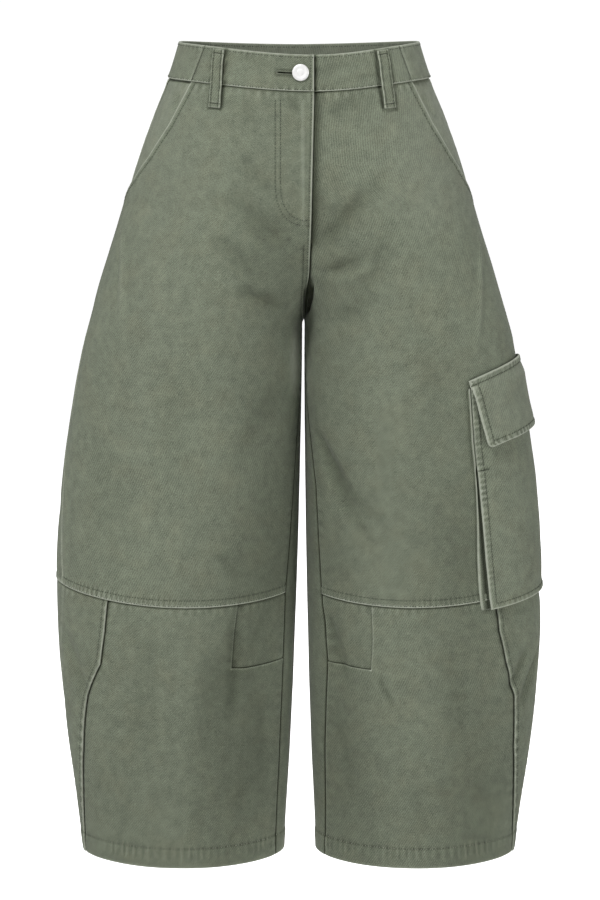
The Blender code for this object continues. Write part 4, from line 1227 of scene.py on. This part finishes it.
patchWall("cargoGusset", face, p, q, outward, np.full_like(outward, gusset["under"]), fade, flat)

# The flap lies over the face's top edge, with rounded lower corners
sideways, upward = np.meshgrid(bordered(pocket["width"], 48), bordered(flap["height"], 18))
inset = curlOf(upward, flap["corner"]) * flap["cornerIn"]
inset = inset + flap["topIn"] * (1 - smooth((upward - flap["topFrom"]) / 0.8))
p = 0.5 + (sideways / pocket["width"] - 0.5) * (1 - 2 * inset / pocket["width"])
q = upward / flap["height"]
sides, fromTop = np.minimum(sideways, pocket["width"] - sideways), flap["height"] - upward
along = np.where(np.minimum(upward, fromTop) <= sides, sideways + 300 * (fromTop < upward), upward + 700)
soft, ribs, welt, curl, fade = finished(flap, p, q, along, np.minimum(np.minimum(sides, upward), fromTop))
down = smooth((q - flap["downFrom"]) / flap["downOver"])
base = (over + pocket["thick"] + flap["clear"]) * (1 - down) + 2 * pocket["clear"] * down
puffed = flap["swell"]
puff = puffed["middle"] * bump((upward - puffed["at"]) / puffed["reach"]) * smooth(sides / puffed["sides"])
base = base + puff + puffed["low"] * bump((upward - puffed["lowAt"]) / puffed["lowReach"])
patchWall("cargoFlap", flap, p, q, base + flap["thick"] + soft + ribs + welt - curl, base + soft + curl, fade)
rowP, rowQ = flap["row"] / pocket["width"], flap["row"] / flap["height"]
sideP = rowP + flap["rowIn"]
for start, end in (((sideP, 1 - rowQ), (sideP, rowQ)), ((rowP, rowQ), (1 - rowP, rowQ)),
                   ((1 - sideP, rowQ), (1 - sideP, 1 - rowQ)), ((0, 1 - rowQ), (1, 1 - rowQ))):
    sew("cargoFlap", ["cargoFlap"], patchLine(flap, start, end), pitch=pocket["stitch"])
print("cargo pocket made")

# Button: a turned metal cap on a shank
button = {
    "x": 1.7, "level": -0.8, "radius": 8.9, "clear": 0.9, "aboveHole": 4,
    "profile": ((0, -5), (0.08, -5), (0.08, 0), (0.84, 0), (0.93, 0.25), (0.985, 0.7), (1, 1.2),
                (0.985, 1.65), (0.93, 2.05), (0.86, 2.2), (0.78, 2.25), (0.7, 2.2), (0.62, 2.14), (0.52, 2.1),
                (0.48, 2.0), (0.44, 1.98), (0.4, 2.08), (0.3, 2.16), (0.2, 2.2), (0.1, 2.22), (0, 2.22)),
}
seatSide, seatAngle = frontSpot(np.array(float(button["x"])), np.array(float(button["level"])))
seatSpot, seatAround, seatUp, seatOut = (Vector(value.ravel()) for value in formAt(seatSide, seatAngle, 0.0))
start = seatSpot + seatOut * searchFrom + seatUp * (button["aboveHole"] * mm)
hit = covers["bandFrontRight"].ray_cast(start, -seatOut, 2 * searchFrom)
bm = bmesh.new()
corners = [bm.verts.new((r * button["radius"] * mm, 0, h * mm)) for r, h in button["profile"]]
bars = [bm.edges.new(pair) for pair in zip(corners, corners[1:])]
bmesh.ops.spin(bm, geom=corners + bars, cent=(0, 0, 0), axis=(0, 0, 1), angle=2 * pi, steps=48,
               use_merge=True)
bmesh.ops.remove_doubles(bm, verts=bm.verts, dist=1e-6)
bmesh.ops.recalc_face_normals(bm, faces=bm.faces)
if bm.calc_volume(signed=True) < 0:
    bmesh.ops.reverse_faces(bm, faces=bm.faces)
turn = Matrix((seatOut.cross(seatUp), seatUp, seatOut)).transposed().to_4x4()
rest = (hit[0] - seatSpot).dot(seatOut) + button["clear"] * mm
bm.transform(Matrix.Translation(seatSpot + seatOut * rest) @ turn)
buttonPiece = addMesh("jeanButton", bm)
buttonPiece.data.set_sharp_from_angle(angle=radians(50))

# Buttonhole stitches round the slit
hole = {"beside": 1.5, "past": 0.5, "end": -6.5, "endPast": 1.3, "endReach": 2.2}
for reach in (-hole["beside"], hole["beside"]):
    row = frontPath(np.linspace(band["holeStart"] - hole["past"], hole["end"], 20),
                    np.full(20, reach + band["holeLevel"]))
    sew("buttonhole", ["bandFrontRight"], row, **closeStitches["holeSide"])
endRow = frontPath([band["holeStart"] - hole["endPast"]] * 2, [hole["endReach"], -hole["endReach"]])
sew("buttonhole", ["bandFrontRight"], endRow, **closeStitches["holeEnd"])
print("button made")

# Stitches, joined by area
stitchPieces = {}
for group in stitchRows:
    stitchPieces[group] = makeStitches(group, "stitches" + group[0].upper() + group[1:])
print("stitches made,", sum(len(rows) for rows in stitchRows.values()))


# Materials
def addNode(tree, kind, at=None, **values):
    node = tree.nodes.new("ShaderNode" + kind)
    for key, value in values.items():
        if hasattr(node, key):
            setattr(node, key, value)
    for key, value in (at or {}).items():
        if isinstance(value, bpy.types.NodeSocket):
            tree.links.new(value, node.inputs[key])
        else:
            node.inputs[key].default_value = value
    return node


def newGroup(name, inputs, outputs):
    tree = bpy.data.node_groups.new(name, "ShaderNodeTree")
    for key, kind, value in inputs:
        socket = tree.interface.new_socket(name=key, in_out="INPUT", socket_type="NodeSocket" + kind)
        if value is not None:
            socket.default_value = value
    for key, kind in outputs:
        tree.interface.new_socket(name=key, in_out="OUTPUT", socket_type="NodeSocket" + kind)
    return tree, tree.nodes.new("NodeGroupInput"), tree.nodes.new("NodeGroupOutput")


def maths(tree, operation, first, second=0.5, third=None, clamp=False):
    node = addNode(tree, "Math", operation=operation, use_clamp=clamp)
    for n, value in enumerate((first, second, third)):
        if isinstance(value, bpy.types.NodeSocket):
            tree.links.new(value, node.inputs[n])
        elif value is not None:
            node.inputs[n].default_value = value
    return node.outputs[0]


def blendColours(tree, kind, factor, first, second):
    node = addNode(tree, "Mix", data_type="RGBA", blend_type=kind)
    for socket, value in ((node.inputs[0], factor), (node.inputs[6], first), (node.inputs[7], second)):
        if isinstance(value, bpy.types.NodeSocket):
            tree.links.new(value, socket)
        else:
            socket.default_value = value
    return node.outputs[2]


def ranged(tree, value, fromLow, fromHigh, toLow, toHigh):
    node = addNode(tree, "MapRange", {"Value": value, "From Min": fromLow, "From Max": fromHigh,
                                      "To Min": toLow, "To Max": toHigh})
    return node.outputs[0]


def noiseOf(tree, vector, scale, detail, roughness=0.5):
    return addNode(tree, "TexNoise", {"Vector": vector, "Scale": scale, "Detail": detail,
                                      "Roughness": roughness}).outputs[0]


def mapped(tree, vector, **turned):
    return addNode(tree, "Mapping", {"Vector": vector, **turned}).outputs[0]


def centred(tree, value, middle, amount):
    return maths(tree, "MULTIPLY", maths(tree, "SUBTRACT", value, middle), amount)


def tinted(tree, value, dark, pale, places=(0, 1)):
    ramp = addNode(tree, "ValToRGB", {"Fac": value})
    for stop, at, colour in zip(ramp.color_ramp.elements, places, (dark, pale)):
        stop.position = at
        stop.color = (*colour, 1)
    return ramp.outputs[0]


def useGroup(tree, group, values):
    node = tree.nodes.new("ShaderNodeGroup")
    node.node_tree = group
    for key, value in values.items():
        if isinstance(value, bpy.types.NodeSocket):
            tree.links.new(value, node.inputs[key])
        else:
            node.inputs[key].default_value = value
    return node


def newMaterial(name):
    made = bpy.data.materials.new(name)
    made.use_nodes = True
    tree = made.node_tree
    return made, tree, tree.nodes["Principled BSDF"], addNode(tree, "TexCoord").outputs["Object"]


# steep diagonal ribs of twill with uneven yarns, from a flat map in metres
weave, given, put = newGroup("twillWeave", [
    ("Vector", "Vector", None), ("Ribs", "Float", 470.0), ("Unevenness", "Float", 1.0)],
    [("Height", "Float"), ("Tone", "Float")])
flatMap = given.outputs["Vector"]
twillRibs = addNode(weave, "TexWave", {
    "Vector": mapped(weave, flatMap, Scale=(1, -0.7, 0)), "Scale": given.outputs["Ribs"], "Distortion": 2.2,
    "Detail": 1, "Detail Scale": 1.4}, bands_direction="DIAGONAL").outputs[1]
yarns = noiseOf(weave, mapped(weave, flatMap, Rotation=(0, 0, -0.6), Scale=(2.2, 0.8, 1)), 1100, 1)
slubs = noiseOf(weave, mapped(weave, flatMap, Scale=(0.45, 2.4, 1)), 620, 1)
mixed = maths(weave, "ADD", maths(weave, "MULTIPLY", yarns, 0.7), maths(weave, "MULTIPLY", slubs, 0.4))
mixed = maths(weave, "MULTIPLY", mixed, given.outputs["Unevenness"])
relief = maths(weave, "ADD", maths(weave, "MULTIPLY", twillRibs, 0.8), mixed)
for name in ("Height", "Tone"):
    weave.links.new(relief, put.inputs[name])

# the uneven colour of washed cloth: broad clouds, small flecks and paler rubbed ridges, and the painted
# shade of creases, seams and hollows, all mixed in from the fade
wash, given, put = newGroup("washedCloth", [
    ("Vector", "Vector", None), ("Colour", "Color", (0.17, 0.2, 0.15, 1)), ("Clouds", "Float", 0.12),
    ("Flecks", "Float", 0.1), ("Fade", "Float", 0.0), ("Tone", "Float", 0.5)],
    [("Colour", "Color"), ("Roughness", "Float")])
washing = {
    "patches": 1.5, "clouds": 0.8, "tone": 0.46, "toneMiddle": 0.8, "dark": 0.47, "worn": 0.9,
    "olive": (1.07, 0.985, 0.93, 1), "paleCloth": (0.47, 0.5, 0.41, 1), "paintedShadeCloth": (0.12, 0.125, 0.09, 1),
}
place, fadeIn = given.outputs["Vector"], given.outputs["Fade"]
clouds = noiseOf(wash, place, 13, 4, 0.55)
patches = noiseOf(wash, place, 105, 1)
flecks = noiseOf(wash, place, 1500, 0)
warm = noiseOf(wash, place, 34, 3)
worn = noiseOf(wash, place, 160, 3)
cloudy = centred(wash, clouds, 0.5, given.outputs["Clouds"])
patchy = maths(wash, "MULTIPLY", centred(wash, patches, 0.5, washing["patches"]), given.outputs["Clouds"])
flecky = centred(wash, flecks, 0.5, given.outputs["Flecks"])
toned = centred(wash, given.outputs["Tone"], washing["toneMiddle"], washing["tone"])
total = maths(wash, "MULTIPLY_ADD", cloudy, washing["clouds"], patchy)
bright = maths(wash, "ADD", 1.0, maths(wash, "ADD", total, maths(wash, "ADD", flecky, toned)))
shade = addNode(wash, "CombineColor", {0: bright, 1: bright, 2: bright})
base = blendColours(wash, "MULTIPLY", 1.0, given.outputs["Colour"], shade.outputs[0])
olive = blendColours(wash, "MULTIPLY", 1.0, base, washing["olive"])
base = blendColours(wash, "MIX", ranged(wash, warm, 0.45, 0.75, 0, 0.4), base, olive)
# paleness where the fade is above 0: rubbed edges, and painted light on fold ridges, the inner strip and the
# parting
paleness = maths(wash, "MAXIMUM", fadeIn, 0.0)
paleness = maths(wash, "MULTIPLY", paleness, ranged(wash, worn, 0.3, 0.65, 0.65, 1.0), clamp=True)
# painted shade where the fade is below 0: creases, laps, stitched rows and the shade between the legs
paintedShadeAmount = maths(wash, "MAXIMUM", maths(wash, "MULTIPLY", fadeIn, -1.0), 0.0)
paintedShadeAmount = maths(wash, "MULTIPLY", paintedShadeAmount, washing["dark"], clamp=True)
paleCloth = blendColours(wash, "MIX", 0.8, base, washing["paleCloth"])
paintedShadeCloth = blendColours(wash, "MULTIPLY", 1.0, base, washing["paintedShadeCloth"])
faded = blendColours(wash, "MIX", maths(wash, "MULTIPLY", paleness, washing["worn"]), base, paleCloth)
faded = blendColours(wash, "MIX", paintedShadeAmount, faded, paintedShadeCloth)
wash.links.new(faded, put.inputs["Colour"])
wash.links.new(ranged(wash, patches, 0.3, 0.7, 0.86, 0.96), put.inputs["Roughness"])

twill = {
    "colour": (0.1675, 0.1905, 0.1375, 1), "ribs": 245.0, "clouds": 0.36, "flecks": 1.2,
    "bump": 0.35, "depth": 0.0006, "crumple": 0.6, "crumpleDepth": 0.0018,
    "sheen": {"Sheen Weight": 0.08, "Sheen Roughness": 0.5, "Specular IOR Level": 0.25},
}
twillCloth, tree, shader, place = newMaterial("washedTwill")
woven = useGroup(tree, weave, {"Vector": addNode(tree, "UVMap", uv_map="cloth").outputs[0],
                               "Ribs": twill["ribs"], "Unevenness": 1.0})
washed = useGroup(tree, wash, {
    "Vector": place, "Colour": twill["colour"], "Clouds": twill["clouds"], "Flecks": twill["flecks"],
    "Fade": addNode(tree, "Attribute", attribute_name="fade").outputs["Fac"], "Tone": woven.outputs["Tone"]})
crumpled = addNode(tree, "Bump", {"Height": noiseOf(tree, place, 85, 1), "Strength": twill["crumple"],
                                  "Distance": twill["crumpleDepth"]})
grained = addNode(tree, "Bump", {"Height": woven.outputs["Height"], "Strength": twill["bump"],
                                 "Distance": twill["depth"], "Normal": crumpled.outputs[0]})
tree.links.new(washed.outputs["Colour"], shader.inputs["Base Color"])
tree.links.new(washed.outputs["Roughness"], shader.inputs["Roughness"])
tree.links.new(grained.outputs[0], shader.inputs["Normal"])
for key, value in twill["sheen"].items():
    shader.inputs[key].default_value = value


def makeThread(name, dark, pale):
    made, tree, shader, place = newMaterial(name)
    spun = noiseOf(tree, place, 900, 2)
    tree.links.new(tinted(tree, spun, dark, pale, (0.3, 0.7)), shader.inputs["Base Color"])
    fuzz = addNode(tree, "Bump", {"Height": spun, "Strength": 0.3, "Distance": 0.0003})
    tree.links.new(fuzz.outputs[0], shader.inputs["Normal"])
    shader.inputs["Roughness"].default_value = 0.75
    return made


# most rows get a near-black thread, a painted shade for stitches sunk in the cloth; the hems and the
# buttonhole get paler thread
threads = {
    "hemRight": makeThread("hemThread", (0.1, 0.115, 0.08), (0.36, 0.38, 0.3)),
    "buttonhole": makeThread("holeThread", (0.13, 0.15, 0.105), (0.22, 0.24, 0.18)),
}
threads["hemLeft"] = threads["hemRight"]
# near-black thread, a painted shade for the sunken stitches
shadowedThread = makeThread("shadowedSewingThread", (0.02, 0.024, 0.016), (0.045, 0.052, 0.036))

metal, tree, shader, place = newMaterial("silverMetal")
scuffs = noiseOf(tree, place, 700, 4)
scratches = noiseOf(tree, mapped(tree, place, Scale=(1, 1, 9)), 500, 3)
tree.links.new(tinted(tree, scuffs, (0.93, 0.925, 0.91), (0.99, 0.985, 0.975)), shader.inputs["Base Color"])
tree.links.new(ranged(tree, scuffs, 0.3, 0.7, 0.42, 0.55), shader.inputs["Roughness"])
brushed = addNode(tree, "Bump", {"Height": scratches, "Strength": 0.15, "Distance": 0.0001})
tree.links.new(brushed.outputs[0], shader.inputs["Normal"])
shader.inputs["Metallic"].default_value = 0.45

for piece in shells.values():
    piece.data.materials.append(twillCloth)
for group, piece in stitchPieces.items():
    piece.data.materials.append(threads.get(group, shadowedThread))
buttonPiece.data.materials.append(metal)
print("materials made")

# The size each piece is cut to: width and length, and the area where it isn't a rectangle
cuts = {
    "front": (0.37, 0.56, 0.15), "hipFacing": (0.1, 0.14, 0.0115), "frontSideLower": (0.068, 0.306, 0.0142),
    "backSideLower": (0.128, 0.306, 0.0202), "frontLower": (0.235, 0.306, 0.06),
    "kneeInset": (0.067, 0.079, 0.0047), "hem": (0.59, 0.0215, 0.0123), "back": (0.44, 0.86, 0.275),
    "bandFront": (0.138, 0.037, 0.005),
    "bandBack": (0.55, 0.037, 0.0202), "flyUnderlap": (0.056, 0.19, 0.0106),
    "beltLoop": (0.013, 0.07, 0.00085), "cargoFace": (0.175, 0.24, 0.041),
    "cargoGusset": (0.64, 0.016, 0.0102), "cargoFlap": (0.174, 0.088, 0.0145),
}
# the solid each piece stands for and what it hangs from
nodes = {
    "front": ("front", "bandFront"), "hipFacing": ("hip_facing", "front"), "back": ("back", "bandBack"),
    "frontSideLower": ("front_side_lower", "front"), "backSideLower": ("back_side_lower", "back"),
    "frontLower": ("front_lower", "front"), "kneeInset": ("knee_inset", "front"),
    "hem": ("hem", "frontLower"),
}
stands = {}
for label in ("Right", "Left"):
    for kind, (node, over) in nodes.items():
        hangsFrom = over if over == "bandBack" else over + label
        stands[kind + label] = (kind, node + "_" + label.lower(), hangsFrom)
    stands["bandFront" + label] = ("bandFront", "waistband_front_" + label.lower(), "bandBack")
stands["bandBack"] = ("bandBack", "waistband_back", "backRight")
stands["flyUnderlap"] = ("flyUnderlap", "fly_underlap", "bandFrontLeft")
for label, node in (("FrontRight", "front_right"), ("FrontLeft", "front_left"), ("BackRight", "back_right"),
                    ("BackLeft", "back_left"), ("BackCentre", "back_centre")):
    stands["beltLoop" + label] = ("beltLoop", "belt_loop_" + node, "bandBack")
for kind in ("face", "gusset", "flap"):
    name = "cargo" + kind.capitalize()
    stands[name] = (name, "cargo_pocket_" + kind, "frontLeft")
for name, (kind, node, over) in stands.items():
    piece = shells[name]
    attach(piece, "root")
    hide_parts(node)
    width, length, area = cuts[kind]
for piece in stitchPieces.values():
    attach(piece, "root")
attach(buttonPiece, "root")
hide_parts("button")

# A pale floor, under a white surrounding
studio = {"floor": -1.12, "half": 14}
bm = bmesh.new()
bmesh.ops.create_grid(bm, x_segments=8, y_segments=8, size=studio["half"],
                      matrix=Matrix.Translation((0, 0, studio["floor"])))
floor = addMesh("floor", bm)

paper, tree, shader, place = newMaterial("whitePaper")
tree.links.new(ranged(tree, noiseOf(tree, place, 3, 2), 0.3, 0.7, 0.85, 0.95), shader.inputs["Roughness"])
shader.inputs["Base Color"].default_value = (0.93, 0.93, 0.93, 1)
seen = addNode(tree, "LightPath").outputs["Is Camera Ray"]
tree.links.new(ranged(tree, seen, 0, 1, 0.02, 0.9), shader.inputs["Emission Strength"])
shader.inputs["Emission Color"].default_value = (1, 1, 1, 1)
floor.data.materials.append(paper)

# Light: a broad soft one above and in front on the left, a weaker one on the right, one low
lights = {
    "key": {"at": (-1.35, -2.4, 2.8), "aim": (0, 0, -0.4), "size": 0.9, "power": 109},
    "fill": {"at": (3.4, -2.2, 0.6), "aim": (0.1, 0, -0.45), "size": 2.0, "power": 52},
    "side": {"at": (-3.6, -1.8, 0.2), "aim": (-0.1, 0, -0.5), "size": 1.6, "power": 16},
    "low": {"at": (-0.3, -3.8, -0.7), "aim": (0, 0, -0.7), "size": 1.6, "power": 4},
    "behind": {"at": (0.9, 3.6, 1.9), "aim": (0, 0, -0.45), "size": 2.4, "power": 75},
}


def aimed(name, data, sizes):
    made = addObject(name, data)
    made.location = sizes["at"]
    made.rotation_euler = (Vector(sizes["aim"]) - Vector(sizes["at"])).to_track_quat("-Z", "Y").to_euler()
    return made


for name, values in lights.items():
    lamp = bpy.data.lights.new(name, "AREA")
    lamp.shape = "DISK"
    lamp.size = values["size"]
    lamp.energy = values["power"]
    aimed(name, lamp, values)
world = bpy.data.worlds.new("studio")
world.use_nodes = True
sky = world.node_tree.nodes["Background"]
sky.inputs[0].default_value = (1, 1, 1, 1)
seen = addNode(world.node_tree, "LightPath").outputs["Is Camera Ray"]
world.node_tree.links.new(ranged(world.node_tree, seen, 0, 1, 0.16, 1.05), sky.inputs[1])
bpy.context.scene.world = world
bpy.context.scene.view_settings.view_transform = "Standard"

shot = {"at": (0.0011, -4.3572, 0.1879), "aim": (0.0011, 0, -0.4245), "lens": 161.5}
lens = bpy.data.cameras.new("camera")
lens.lens = shot["lens"]
lens.sensor_width = 36
bpy.context.scene.camera = aimed("camera", lens, shot)

print("scene finished")
